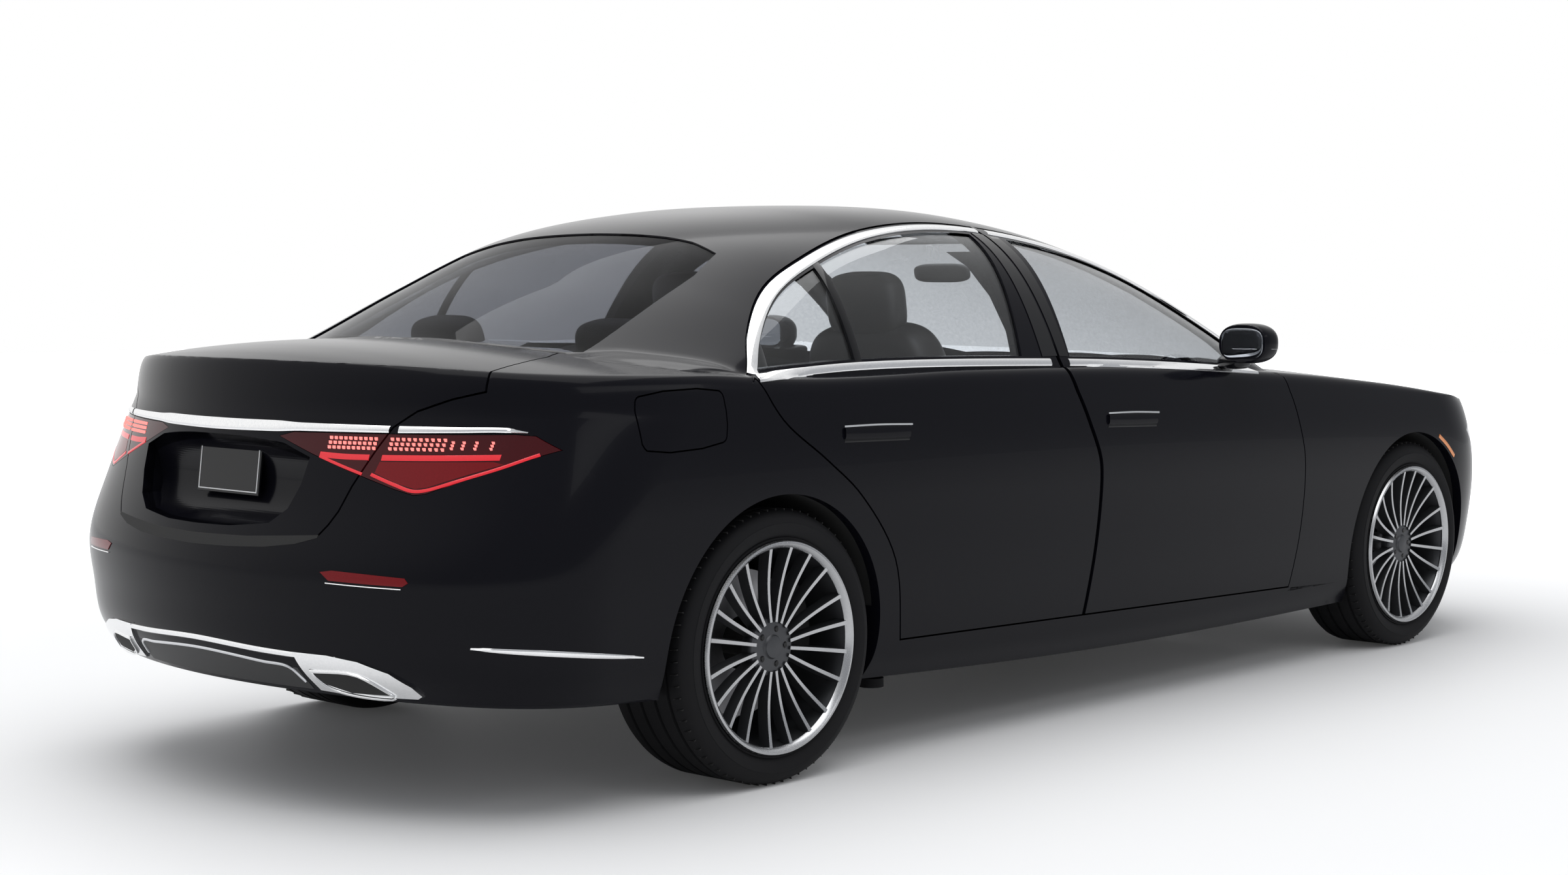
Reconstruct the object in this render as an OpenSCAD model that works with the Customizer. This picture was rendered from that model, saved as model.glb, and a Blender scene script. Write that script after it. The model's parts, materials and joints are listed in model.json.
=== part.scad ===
// Long four-door luxury sedan. Millimetres, +X to the nose, +Y to the left, +Z up.
// The origin lies on the road, at the middle of the car's length and width.
// Tables are written from the rear axle (x), the middle (y) and the road (z),
// and fx, fy and fz carry them to the chosen overall sizes.

/* [Overall] */
// Distance between the axles
wheelbase = 3216; // [3050:1:3400]
// Rear axle to the tail
rear_overhang = 1115; // [1050:1:1180]
// Front axle to the nose
front_overhang = 925; // [880:1:980]
// Width over the doors
body_w = 1918; // [1860:1:1980]
// Height of the roof over the road
body_h = 1501; // [1460:1:1550]

/* [Panels] */
// Thickness of the fixed body walls
wall_t = 35; // [28:1:45]
// Gap round every opening panel
shut_gap = 6; // [5:0.5:8]
// Inner face of the doors, from the middle of the car
door_inner_y = 860; // [852:1:868]
// Width of the frame round the door windows
frame_w = 24; // [18:1:32]
// Thickness of the glass
glass_t = 6; // [4:1:10]
// Radius of the wheel arches
arch_r = 392; // [385:1:405]

/* [Wheels] */
// Outside diameter of the front tyres
front_tyre_d = 712; // [700:1:724]
// Outside diameter of the rear tyres
rear_tyre_d = 708; // [700:1:724]
// Width of the front tyres
front_tyre_w = 255; // [225:5:265]
// Width of the rear tyres
rear_tyre_w = 285; // [245:5:295]
// Outside diameter of the rims
rim_d = 542; // [520:1:550]
// Number of spokes
spoke_n = 20; // [10:5:30]
// How far the tyre walls lie inside the body side
wheel_inset = 10; // [4:1:25]
// Radius of the wheel's centre bore
hub_bore_r = 33.3; // [30:0.1:36]
// Running clearance of pins and spigots
run_gap = 0.3; // [0.2:0.1:0.5]

/* [Doors] */
// Hinge axis of a door behind its front edge
hinge_back = 65; // [55:1:80]
// Hinge axis of a door inside the body side
hinge_in = 22; // [20:1:30]
// Radius of the hinge pins
hinge_pin_r = 6; // [5:0.5:8]

/* [Cabin] */
// Diameter of the steering wheel
steering_d = 370; // [350:1:390]
// Width of a front seat
seat_w = 520; // [480:1:560]
// Height of the front seat cushions
seat_z = 560; // [530:1:590]

/* [Hidden] */

// Sizes that the tables were drawn at
REF_WB = 3216;
REF_RO = 1115;
REF_FO = 925;
REF_W = 1918;
REF_H = 1501;
length = rear_overhang + wheelbase + front_overhang;
x_rear_axle = rear_overhang - length / 2;
x_front_axle = x_rear_axle + wheelbase;
BIG = 4000;

function fx(x) = x_rear_axle + (x < 0 ? x * rear_overhang / REF_RO
    : x <= REF_WB ? x * wheelbase / REF_WB
    : wheelbase + (x - REF_WB) * front_overhang / REF_FO);
function fy(y) = y * body_w / REF_W;
function fz(z) = z * body_h / REF_H;
function side_pts(t) = [for (q = t) [fx(q[0]), fz(q[1])]];
function plan_pts(t) = [for (q = t) [fx(q[0]), fy(q[1])]];
function rear_pts(t) = [for (q = t) [fy(q[0]), fz(q[1])]];
function both_sides(t) = concat(t, [for (i = [len(t) - 1:-1:0]) [t[i][0], -t[i][1]]]);
function both_halves(t) = concat(t, [for (i = [len(t) - 1:-1:0]) [-t[i][0], t[i][1]]]);

// Smooth curve through a table of [position, value]
function slope(t, i) = (t[i + 1][1] - t[i][1]) / (t[i + 1][0] - t[i][0]);
function tangent(t, i) = i == 0 ? slope(t, 0)
    : i == len(t) - 1 ? slope(t, i - 1)
    : let (a = t[i][0] - t[i - 1][0], b = t[i + 1][0] - t[i][0])
      (slope(t, i - 1) * b + slope(t, i) * a) / (a + b);
function span(t, x) = min(len(t) - 2, max(0, len([for (q = t) if (q[0] <= x) 1]) - 1));
function curve(t, x) = let (i = span(t, x), h = t[i + 1][0] - t[i][0], u = (x - t[i][0]) / h,
    a = t[i][1], b = t[i + 1][1], m = tangent(t, i) * h, n = tangent(t, i + 1) * h)
    a + u * m + u * u * (3 * (b - a) - 2 * m - n) + u * u * u * (2 * (a - b) + m + n);

// Levels of the body side, from the bottom edge to the shoulder crease
// [z at the tail, z amidships, z at the nose, half width, tail x, nose x, tail bow, tail corner]
LEVELS = [
    [300, 185, 200, 890, -1030, 4030, .30, 270],
    [380, 262, 285, 925, -1090, 4100, .30, 270],
    [480, 400, 410, 944, -1108, 4130, .30, 270],
    [610, 600, 560, 957, -1115, 4141, .30, 270],
    [770, 790, 700, 958, -1070, 4110, .33, 300],
    [980, 958, 835, 942, -1015, 4030, .40, 400],
    [1030, 1030, 880, 905, -990, 3900, .42, 420]];
NOSE_BOW = .30;
NOSE_CORNER = 380;
CORNER_TAIL_POWER = 9;
CORNER_NOSE_POWER = 6;
CORNER_ROUND = 2.5;
X_MID = 1400;
SHOULDER = 6;
CREASE = 5;

// Height of the bonnet, belt and boot deck along the middle, and how far they fall to the sides
DECK = [[-1100, 1048], [-1030, 1080], [-940, 1103], [-830, 1119], [-700, 1128], [-500, 1130], [-250, 1116],
    [0, 1090], [800, 1080], [1600, 1062], [2300, 1028], [2800, 990], [3300, 936], [3700, 868], [4000, 792],
    [4140, 745]];
DECK_FALL = [[-1100, .00012], [-600, .000096], [0, .00006], [600, .000055], [4200, .000055]];

// Cabin roof: stations bow in plan. Height along the middle, plan bow and half width at the belt
ROOF = [[-300, 1030], [-100, 1120], [150, 1275], [400, 1415], [700, 1486], [950, 1501], [1250, 1488],
    [1550, 1432], [1800, 1342], [2050, 1215], [2300, 1060], [2550, 880]];
ROOF_BOW = [[-300, -435], [-100, -384], [150, -259], [400, -151], [700, -45], [1000, 0], [1400, 60],
    [1900, 220], [2300, 360], [2600, 420]];
BELT_W = [[-300, 855], [-100, 893], [150, 906], [600, 912], [1200, 912], [1800, 905], [2300, 885], [2700, 850]];
TUMBLEHOME = 69;
RAIL_TENSION = .90;
CROWN_TENSION = .84;
ROOF_FROM = -300;
ROOF_TO = 2450;
ROOF_STEPS = 20;
SECTION_STEPS = 7;
ROOF_ROOT = 150;
ROOF_SUNK = 14;

// Columns of the body side: 0 to 1 round the tail, 1 to 2 along the side, 2 to 3 round the nose
COLUMNS = [.05, .18, .32, .46, .6, .72, .83, .92, 1, 1.08, 1.18, 1.32, 1.5, 1.66, 1.8, 1.9, 2, 2.1, 2.22, 2.36,
    2.5, 2.66, 2.82, 2.95];
WALL_ROWS = [0, .5, 1, 2, 3, 4, 5];
CAP_ROWS = [0, .2, .55, 1];

function deck_z(x, y) = curve(DECK, x) - curve(DECK_FALL, x) * y * y;
function level(w, c) = curve([for (i = [0:len(LEVELS) - 1]) [i, LEVELS[i][c]]], w);
function level_z(w, x) = curve([[-REF_RO, level(w, 0)], [X_MID, level(w, 1)],
    [REF_WB + REF_FO, level(w, 2)]], x);
function ease(q) = 1 - pow(max(0, 1 - q), 2.2);
function corner(v, power) = 1 - pow(max(0, 1 - pow(v, power)), 1 / CORNER_ROUND);
// Plan point of a level at column c, pulled in by t
function plan(w, c, t) = let (hw = level(w, 3) - t, tail = level(w, 4) + t, nose = level(w, 5) - t,
    bow = level(w, 6) / 1000, cor = level(w, 7), nbow = NOSE_BOW / 1000,
    v = c < 1 ? ease(c) : c > 2 ? ease(3 - c) : 1,
    tail_end = tail + bow * hw * hw + cor, nose_end = nose - nbow * hw * hw - NOSE_CORNER)
    [c < 1 ? tail + bow * hw * hw * v * v + cor * corner(v, CORNER_TAIL_POWER)
     : c > 2 ? nose - nbow * hw * hw * v * v - NOSE_CORNER * corner(v, CORNER_NOSE_POWER)
     : tail_end + (c - 1) * (nose_end - tail_end), hw * v];

// One half section of the lower body, bottom edge first and deck middle last
function body_column(c, t) = let (crease = plan(CREASE, c, t), edge = plan(SHOULDER, c, t),
    edge_z = deck_z(edge[0], edge[1]) - t, crease_z = min(level_z(CREASE, crease[0]), edge_z - 12),
    mid = [(crease + edge) / 2, (crease_z + 3 * edge_z) / 4])
    concat([for (w = WALL_ROWS) let (q = plan(w, c, t), low = level_z(w, q[0]) + (w == 0 ? t : 0))
        [q[0], q[1], min(low, crease_z - 2 * (CREASE - w))]],
    [[mid[0][0], mid[0][1] + 6, mid[1]]],
    [for (r = CAP_ROWS) let (y = edge[1] * (1 - r)) [edge[0], y, deck_z(edge[0], y) - t]]);

// One half section of the cabin, root first and roof middle last
function roof_column(s, t) = let (b = curve(BELT_W, s) - t, bow = curve(ROOF_BOW, s), top = curve(ROOF, s) - t,
    z = deck_z(s, b) - t - ROOF_SUNK, k = b - (top - z) / tan(TUMBLEHOME),
    p1 = [b + (k - b) * RAIL_TENSION, z + (top - z) * RAIL_TENSION], p2 = [k * CROWN_TENSION, top])
    concat([[s, b, z - ROOF_ROOT]], [for (i = [0:SECTION_STEPS]) let (u = i / SECTION_STEPS, q = 1 - u,
        y = q * q * q * b + 3 * q * q * u * p1[0] + 3 * q * u * u * p2[0],
        h = q * q * q * z + 3 * q * q * u * p1[1] + 3 * q * u * u * top + u * u * u * top)
        [s + bow * (1 - pow(y / b, 2)), y, h]]);

// Closed solid through mirrored half sections
module loft(half) {
    n = len(half[0]);
    m = len(half);
    function right(j, k) = j * n + k;
    function left(j, k) = k == n - 1 ? right(j, k) : m * n + j * n + k;
    map = [for (col = half) [for (q = col) [fx(q[0]), -fy(q[1]), fz(q[2])]]];
    flip = [for (col = half) [for (q = col) [fx(q[0]), fy(q[1]), fz(q[2])]]];
    points = concat([for (col = map) each col], [for (col = flip) each col]);
    faces = concat(
        [for (j = [0:m - 2], k = [0:n - 2]) each [[right(j, k), right(j, k + 1), right(j + 1, k + 1)],
            [right(j, k), right(j + 1, k + 1), right(j + 1, k)]]],
        [for (j = [0:m - 2], k = [0:n - 2]) each [[left(j, k), left(j + 1, k + 1), left(j, k + 1)],
            [left(j, k), left(j + 1, k), left(j + 1, k + 1)]]],
        [for (j = [0:m - 2]) each [[right(j, 0), right(j + 1, 0), left(j, 0)],
            [left(j, 0), right(j + 1, 0), left(j + 1, 0)]]],
        [for (k = [0:n - 3]) each [[right(0, k), left(0, k), right(0, k + 1)],
            [left(0, k), left(0, k + 1), right(0, k + 1)]]],
        [for (k = [0:n - 3]) each [[right(m - 1, k), right(m - 1, k + 1), left(m - 1, k)],
            [left(m - 1, k), right(m - 1, k + 1), left(m - 1, k + 1)]]],
        [[right(0, n - 2), left(0, n - 2), right(0, n - 1)],
         [right(m - 1, n - 2), right(m - 1, n - 1), left(m - 1, n - 2)]]);
    polyhedron(points, faces);
}

module lower_body(t = 0) loft([for (c = COLUMNS) body_column(c, t)]);
module cabin(t = 0) loft([for (i = [0:ROOF_STEPS])
    roof_column(ROOF_FROM + (ROOF_TO - ROOF_FROM) * i / ROOF_STEPS, t)]);
module body_solid(t = 0) {
    lower_body(t);
    cabin(t);
}
module body_shell(t = wall_t) difference() {
    body_solid();
    body_solid(t);
}

// Prisms that cut the panels: from the side, from above and from behind
module from_side(y0 = -BIG, y1 = BIG) translate([0, y1, 0]) rotate([90, 0, 0])
    linear_extrude(y1 - y0) children();
module from_above() linear_extrude(BIG) children();
module from_behind(x0, x1) translate([x0, 0, 0]) rotate([90, 0, 90]) linear_extrude(x1 - x0) children();
module on_side(s) if (s > 0) mirror([0, 1, 0]) children(); else children();
module both() {
    children();
    mirror([0, 1, 0]) children();
}
module as_mesh() resize([0, 0, 0]) children();

// Side view outlines, [x, z]
WINDOW_LINE = [[-62, 1040], [15, 1130], [180, 1252], [388, 1337], [650, 1402], [942, 1431], [1192, 1424],
    [1510, 1382], [1820, 1298], [2120, 1150], [2300, 1042]];
WINDOW_SILL = [[2330, 985], [1180, 1046], [356, 1058], [-62, 1040]];
DOOR_FRONT = [[2398, 965], [2452, 840], [2490, 720], [2497, 647], [2486, 450], [2454, 268]];
DOOR_SPLIT = [[1205, 1440], [1200, 1240], [1234, 1022], [1300, 880], [1352, 770], [1360, 717], [1346, 520],
    [1313, 268]];
DOOR_REAR = [[-70, 1036], [5, 930], [163, 820], [293, 721], [434, 543], [482, 300]];
DOOR_FOOT = [[2454, 274], [1313, 300], [482, 318]];
FRAME_TOP = 14;
COWL_GAP = 26;

module window_area() polygon(side_pts(concat(WINDOW_LINE, WINDOW_SILL)));
// Whole door opening of one side: windows with their frame, and both doors below
module door_opening() {
    offset(delta = FRAME_TOP) window_area();
    polygon(side_pts(concat(DOOR_FRONT, DOOR_FOOT,
        [for (i = [len(DOOR_REAR) - 1:-1:0]) DOOR_REAR[i]], [[300, 1060], [2330, 1000]])));
}
module ahead_of_split() polygon(side_pts(concat(DOOR_SPLIT, [[1300, 0], [4200, 0], [4200, 1440]])));
module front_door_area() intersection() {
    offset(delta = -shut_gap) door_opening();
    offset(delta = -shut_gap / 2) ahead_of_split();
}
module rear_door_area() difference() {
    offset(delta = -shut_gap) door_opening();
    offset(delta = shut_gap / 2) ahead_of_split();
}
module front_window_area() intersection() {
    offset(delta = -frame_w) window_area();
    offset(delta = -shut_gap / 2 - frame_w) ahead_of_split();
}
module rear_window_area() difference() {
    offset(delta = -frame_w) window_area();
    offset(delta = shut_gap / 2 + frame_w) ahead_of_split();
}

// Plan outlines, [x, y]
WINDSCREEN = [[1690, 0], [1665, 330], [1600, 530], [2010, 640], [2300, 700], [2440, 690], [2600, 545],
    [2712, 300], [2755, 0]];
REAR_SCREEN = [[237, 0], [232, 300], [225, 410], [200, 522], [80, 558], [-80, 570], [-290, 586], [-345, 588],
    [-368, 550], [-400, 450], [-432, 300], [-456, 0]];
ROOF_SIDE = [[1690, 0], [1665, 330], [1600, 530], [900, 545], [330, 540], [200, 522], [225, 410],
    [232, 300], [237, 0]];
LID_FRONT = [[-475, 0], [-452, 300], [-420, 450], [-385, 545], [-490, 622], [-623, 676], [-770, 728],
    [-888, 752], [-985, 765], [-985, 1000]];
BONNET_REAR = [[2800, 0], [2757, 300], [2652, 550], [2548, 720], [2500, 800]];
BONNET_NOSE = [[2900, 815], [3500, 780], [3850, 640], [3960, 420], [4010, 0]];
module windscreen_area() polygon(plan_pts(both_sides(WINDSCREEN)));
module rear_screen_area() polygon(plan_pts(both_sides(REAR_SCREEN)));
module roof_area() polygon(plan_pts(both_sides(ROOF_SIDE)));
module behind_lid_front() polygon(plan_pts(both_sides(concat(LID_FRONT, [[-1300, 1000]]))));
module bonnet_area() polygon(plan_pts(both_sides(concat(BONNET_REAR, BONNET_NOSE))));
module ahead_of_cowl() polygon(plan_pts(both_sides(concat([for (q = BONNET_REAR) [q[0] - COWL_GAP, q[1]]],
    [[2400, 800], [2400, 1000], [4300, 1000], [4300, 0]]))));
module cowl_area() polygon(plan_pts(both_sides(concat([[2000, 0], [2000, 790]],
    [for (i = [len(BONNET_REAR) - 1:-1:0]) BONNET_REAR[i]]))));

// Rear view outlines, [y, z]
LID_SIDE = [[0, 660], [405, 660], [430, 690], [545, 800], [590, 900], [605, 935], [665, 990], [750, 1026],
    [790, 1040], [790, 1200], [0, 1200]];
LAMP_REAR = [[240, 916], [560, 940], [960, 925], [945, 890], [780, 806], [640, 815], [420, 880]];
LAMP_SPLIT = 585;
LAMP_DEPTH = 60;
module lid_area() polygon(rear_pts(both_halves(LID_SIDE)));
module lamp_area() polygon(rear_pts(LAMP_REAR));
LAMP_FROM = -1200;
LAMP_TO = -640;
LID_TO = -340;

// Bumper and nose outlines, [x, z]
REAR_BUMPER = [[-1300, 100], [-300, 100], [-300, 735], [-470, 738], [-620, 800], [-720, 890], [-800, 850],
    [-1300, 850]];
FRONT_BUMPER = [[4300, 100], [3560, 100], [3600, 420], [3640, 560], [3760, 610], [3900, 640], [4300, 640]];
HEADLAMP = [[3640, 735], [3780, 790], [4060, 770], [4160, 690], [4160, 630], [3900, 640], [3760, 660]];
FUEL_DOOR = [[-483, 875], [-200, 885], [-200, 1005], [-225, 1020], [-470, 1010], [-483, 995]];
GRILLE_W = 430;
GRILLE_Z = [330, 700];
GRILLE_SLATS = 4;
HEADLAMP_IN = 500;

front_axle_z = front_tyre_d / 2;
rear_axle_z = rear_tyre_d / 2;
WHEELHOUSE_IN = 480;
module arches() for (s = [-1, 1]) {
    translate([x_rear_axle, s * fy(REF_W / 2), rear_axle_z]) rotate([90, 0, 0])
        cylinder(h = 2 * (fy(REF_W / 2) - WHEELHOUSE_IN), r = arch_r, center = true, $fn = 36);
    translate([x_front_axle, s * fy(REF_W / 2), front_axle_z]) rotate([90, 0, 0])
        cylinder(h = 2 * (fy(REF_W / 2) - WHEELHOUSE_IN), r = arch_r, center = true, $fn = 36);
}
module lid_prism(gap = 0) intersection() {
    from_behind(fx(-1300), fx(LID_TO)) offset(delta = -gap) lid_area();
    from_above() offset(delta = -gap) behind_lid_front();
}
module lamp_prism(gap = 0) from_behind(fx(LAMP_FROM), fx(LAMP_TO)) offset(delta = gap) lamp_area();
module headlamp_prism() difference() {
    from_side() polygon(side_pts(HEADLAMP));
    translate([-BIG, -fy(HEADLAMP_IN), -BIG]) cube([2 * BIG, 2 * fy(HEADLAMP_IN), 2 * BIG]);
}
module grille_prism() translate([fx(3850), -fy(GRILLE_W), fz(GRILLE_Z[0])])
    cube([BIG, 2 * fy(GRILLE_W), fz(GRILLE_Z[1]) - fz(GRILLE_Z[0])]);

paint = "#16171c";
dark = "#101012";
bright = "#c8cacc";
lens = "#a01418";
clear_glass = [.25, .28, .3, .5];
trim_color = "#2a2a2d";
leather = "#2b2320";
rubber_color = "#1a1a1a";

// Fixed panels
SILL_IN = 802;
SILL_AREA = concat([[340, 100], [2760, 100], [2760, 262]], DOOR_FOOT, [[440, 420], [340, 420]]);
SILL_RAIL = [480, 2700];
SILL_RAIL_Y = [700, 820];
module sills() color(paint) as_mesh() {
    both() translate([fx(SILL_RAIL[0]), -fy(SILL_RAIL_Y[1]), fz(FLOOR_Z)])
        cube([fx(SILL_RAIL[1]) - fx(SILL_RAIL[0]), fy(SILL_RAIL_Y[1]) - fy(SILL_RAIL_Y[0]), FLOOR_T]);
    sill_skin();
}
module sill_skin() difference() {
    intersection() {
        lower_body();
        from_side() polygon(side_pts(SILL_AREA));
    }
    translate([-BIG, -fy(SILL_IN), -BIG]) cube([2 * BIG, 2 * fy(SILL_IN), 2 * BIG]);
    arches();
}

PILLAR_LOW = [1195, 1315];
PILLAR_TOP = [1150, 1262];
PILLAR_T = 60;
PILLAR_OUT = 820;
BELT_Z = 1056;
module b_pillars() color(dark) as_mesh() both() {
    translate([fx(PILLAR_LOW[0]), -fy(POST_FOOT), fz(FLOOR_Z) + FLOOR_T])
        cube([fx(PILLAR_LOW[1]) - fx(PILLAR_LOW[0]), PILLAR_T / 2,
            fz(BELT_Z) + PILLAR_T / 2 - fz(FLOOR_Z) - FLOOR_T]);
    translate([fx(PILLAR_LOW[0]), -door_inner_y + POST_GAP, fz(SILL_TOP)])
        cube([fx(PILLAR_LOW[1]) - fx(PILLAR_LOW[0]), PILLAR_T, fz(BELT_Z) + PILLAR_T / 2 - fz(SILL_TOP)]);
    translate([fx(PILLAR_TOP[0]), -fy(PILLAR_OUT), fz(BELT_Z)])
        cube([fx(PILLAR_TOP[1]) - fx(PILLAR_TOP[0]), fy(PILLAR_OUT) - door_inner_y + POST_GAP + PILLAR_T / 2,
            PILLAR_T / 2]);
    intersection() {
        difference() {
            cabin(wall_t + shut_gap);
            cabin(wall_t + shut_gap + PILLAR_T / 2);
        }
        from_side(-BIG, 0) polygon(side_pts([[PILLAR_TOP[0], BELT_Z], [PILLAR_TOP[1], BELT_Z],
            [PILLAR_TOP[1], 1360], [PILLAR_TOP[0], 1360]]));
    }
}

module cabin_side() polygon(side_pts([[-800, 1010], [-60, 1010], [300, 1030], [2330, 975], [2460, 985],
    [2790, 985], [2790, 1600], [-800, 1600]]));
module cabin_frame() difference() {
    intersection() {
        body_shell();
        from_side() cabin_side();
    }
    from_above() windscreen_area();
    from_above() rear_screen_area();
    from_above() roof_area();
    from_side() door_opening();
}
RAIL_FROM = 330;
module roof_rails() color(paint) as_mesh() difference() {
    intersection() {
        cabin_frame();
        translate([fx(RAIL_FROM), -BIG, 0]) cube([BIG, 2 * BIG, BIG]);
    }
    from_above() bonnet_area();
    from_above() ahead_of_cowl();
    both() translate([fx(BONNET_HINGE_ROOM[0]), -fy(BONNET_LUG_Y) - BONNET_HINGE_ROOM[2], fz(COWL_Z) + FLOOR_T])
        cube([fx(BONNET_HINGE_ROOM[1]) - fx(BONNET_HINGE_ROOM[0]), 2 * BONNET_HINGE_ROOM[2], BIG]);
}

module quarter_panels() color(paint) as_mesh() difference() {
    intersection() {
        body_shell();
        from_side() polygon(side_pts(concat([[-1300, 700], [-300, 730], [-300, 100], [482, 100], [482, 300]],
            [for (i = [len(DOOR_REAR) - 1:-1:0]) DOOR_REAR[i]],
            [[RAIL_FROM, 1060], [RAIL_FROM, 1600], [-1300, 1600]])));
    }
    from_side() polygon(side_pts(SILL_AREA));
    from_side() polygon(side_pts(REAR_BUMPER));
    from_side() door_opening();
    from_above() windscreen_area();
    from_above() rear_screen_area();
    from_above() roof_area();
    lid_prism();
    both() lamp_prism();
    arches();
    fuel_prism(0);
}

module front_fenders() color(paint) as_mesh() difference() {
    intersection() {
        lower_body();
        from_side() polygon(side_pts(concat(DOOR_FRONT, [[2454, 200], [2760, 200], [2760, 100],
            [4300, 100], [4300, 1050], [2340, 1050], [2340, 980]])));
    }
    lower_body(wall_t);
    cabin();
    from_above() bonnet_area();
    from_above() cowl_area();
    from_side() polygon(side_pts(FRONT_BUMPER));
    from_side() polygon(side_pts(SILL_AREA));
    from_side() door_opening();
    from_side() cabin_side();
    headlamp_prism();
    arches();
    translate([-BIG, -fy(480), -BIG]) cube([2 * BIG, 2 * fy(480), 2 * BIG]);
}

module roof_panel() color(paint) as_mesh() intersection() {
    difference() {
        cabin();
        cabin(wall_t);
    }
    from_above() roof_area();
    translate([-BIG, -BIG, fz(1150)]) cube(2 * BIG);
}

GLASS_DEEP = 3;
module pane() difference() {
    cabin(GLASS_DEEP);
    cabin(GLASS_DEEP + glass_t);
}
module windshield() color(clear_glass) as_mesh() intersection() {
    pane();
    difference() {
        from_above() windscreen_area();
        lower_body();
    }
}
module backlight() color(clear_glass) as_mesh() intersection() {
    pane();
    difference() {
        from_above() rear_screen_area();
        lower_body();
    }
}

module rear_bumper() color(paint) as_mesh() difference() {
    intersection() {
        lower_body();
        from_side() polygon(side_pts(REAR_BUMPER));
    }
    lower_body(wall_t);
    lid_prism();
    both() lamp_prism();
    arches();
    both() tailpipe_hole();
    tow_hole();
    translate([fx(-960), -fy(800), 0]) cube([fx(-250) - fx(-960), 2 * fy(800), fz(420)]);
}
module front_bumper() color(paint) as_mesh() difference() {
    intersection() {
        lower_body();
        from_side() polygon(side_pts(FRONT_BUMPER));
    }
    lower_body(wall_t);
    headlamp_prism();
    grille_prism();
    arches();
    tow_hole();
}
module grille() color(bright) as_mesh() {
    intersection() {
        difference() {
            lower_body();
            lower_body(wall_t);
        }
        grille_prism();
        union() {
            for (i = [0:GRILLE_SLATS]) translate([0, -BIG,
                fz(GRILLE_Z[0]) + i * (fz(GRILLE_Z[1]) - fz(GRILLE_Z[0]) - 14) / GRILLE_SLATS])
                cube([BIG, 2 * BIG, 14]);
            for (s = [-1, 1]) translate([0, s * (fy(GRILLE_W) - 8) - 8, 0]) cube([BIG, 16, BIG]);
        }
    }
}
module headlamps() color(bright) as_mesh() intersection() {
    difference() {
        lower_body();
        lower_body(LAMP_DEPTH);
    }
    headlamp_prism();
}
module tail_lamps() color(lens) as_mesh() both() difference() {
    intersection() {
        difference() {
            lower_body();
            lower_body(LAMP_DEPTH);
        }
        mirror([0, 1, 0]) lamp_prism();
    }
    lid_prism();
    right_split();
}
module right_split() translate([-BIG, -fy(LAMP_SPLIT), -BIG]) cube([2 * BIG, BIG, 2 * BIG]);

// Opening panels
// Lug of a lid round its hinge pin: [x, z] of the axis and of the seat on the lid
LUG_R1 = 11;
LUG_W = 20;
LID_PIN_R = 5;
module lug(axis, seat, y) from_side(-fy(y) - LUG_W / 2, -fy(y) + LUG_W / 2) difference() {
    hull() {
        translate([fx(axis[0]), fz(axis[1])]) circle(LUG_R1, $fn = 16);
        translate([fx(seat[0]), fz(seat[1])]) circle(LUG_R1, $fn = 16);
    }
    translate([fx(axis[0]), fz(axis[1])]) circle(LID_PIN_R + run_gap, $fn = 24);
}
module lid_pin(axis, foot_z, y) {
    translate([fx(axis[0]), -fy(y), fz(axis[1])]) rotate([90, 0, 0])
        cylinder(h = LUG_W + 2 * shut_gap, r = LID_PIN_R, center = true, $fn = 32);
    for (s = [-1, 1]) translate([fx(axis[0]) - LUG_R1, -fy(y) + s * (LUG_W / 2 + shut_gap) - 3, foot_z])
        cube([2 * LUG_R1, 6, fz(axis[1]) + LID_PIN_R - foot_z]);
}
BONNET_AXIS = [2488, 966];
BONNET_SEAT = [2600, 960];
BONNET_HINGE_ROOM = [2466, 2560, 24];
BONNET_LUG_Y = 705;
NOSE_TOP = 640;
module bonnet() color(paint) as_mesh() {
    difference() {
        intersection() {
            lower_body();
            from_above() offset(delta = -shut_gap) bonnet_area();
            translate([-BIG, -BIG, fz(NOSE_TOP) + shut_gap]) cube(2 * BIG);
        }
        lower_body(wall_t);
        cabin(-shut_gap);
        translate([0, 0, shut_gap]) headlamp_prism();
        translate([0, 0, shut_gap]) grille_prism();
    }
    both() lug(BONNET_AXIS, BONNET_SEAT, BONNET_LUG_Y);
}

LID_AXIS = [-250, 985];
LID_LUG_Y = 572;
// Bent arm of the boot lid from its axis down and round to the lid, [x, z]
LID_ARM = [[-250, 985], [-320, 930], [-375, 838], [-440, 840], [-492, 915], [-500, 1075]];
LID_EDGE = 6;
LID_EDGE_W = 36;
module lid_arm() difference() {
    from_side(-fy(LID_LUG_Y) - LUG_W / 2, -fy(LID_LUG_Y) + LUG_W / 2)
        for (i = [0:len(LID_ARM) - 2]) hull() for (q = [LID_ARM[i], LID_ARM[i + 1]])
            translate([fx(q[0]), fz(q[1])]) circle(LUG_R1, $fn = 16);
    translate([fx(LID_AXIS[0]), 0, fz(LID_AXIS[1])]) rotate([90, 0, 0])
        cylinder(h = BIG, r = LID_PIN_R + run_gap, $fn = 32);
}
module trunk_lid() color(paint) as_mesh() {
    difference() {
        intersection() {
            lower_body();
            lid_prism(shut_gap);
        }
        lower_body(wall_t);
        both() lamp_prism();
        intersection() {
            lower_body(LID_EDGE);
            from_above() difference() {
                translate([fx(-560), -BIG]) square([fx(-300) - fx(-560), 2 * BIG]);
                offset(delta = -shut_gap - LID_EDGE_W) behind_lid_front();
            }
        }
    }
    both() lid_arm();
}
module lid_lamps() color(lens) as_mesh() both() intersection() {
    difference() {
        lower_body();
        lower_body(LAMP_DEPTH);
    }
    mirror([0, 1, 0]) lamp_prism();
    lid_prism(shut_gap);
}

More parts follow.
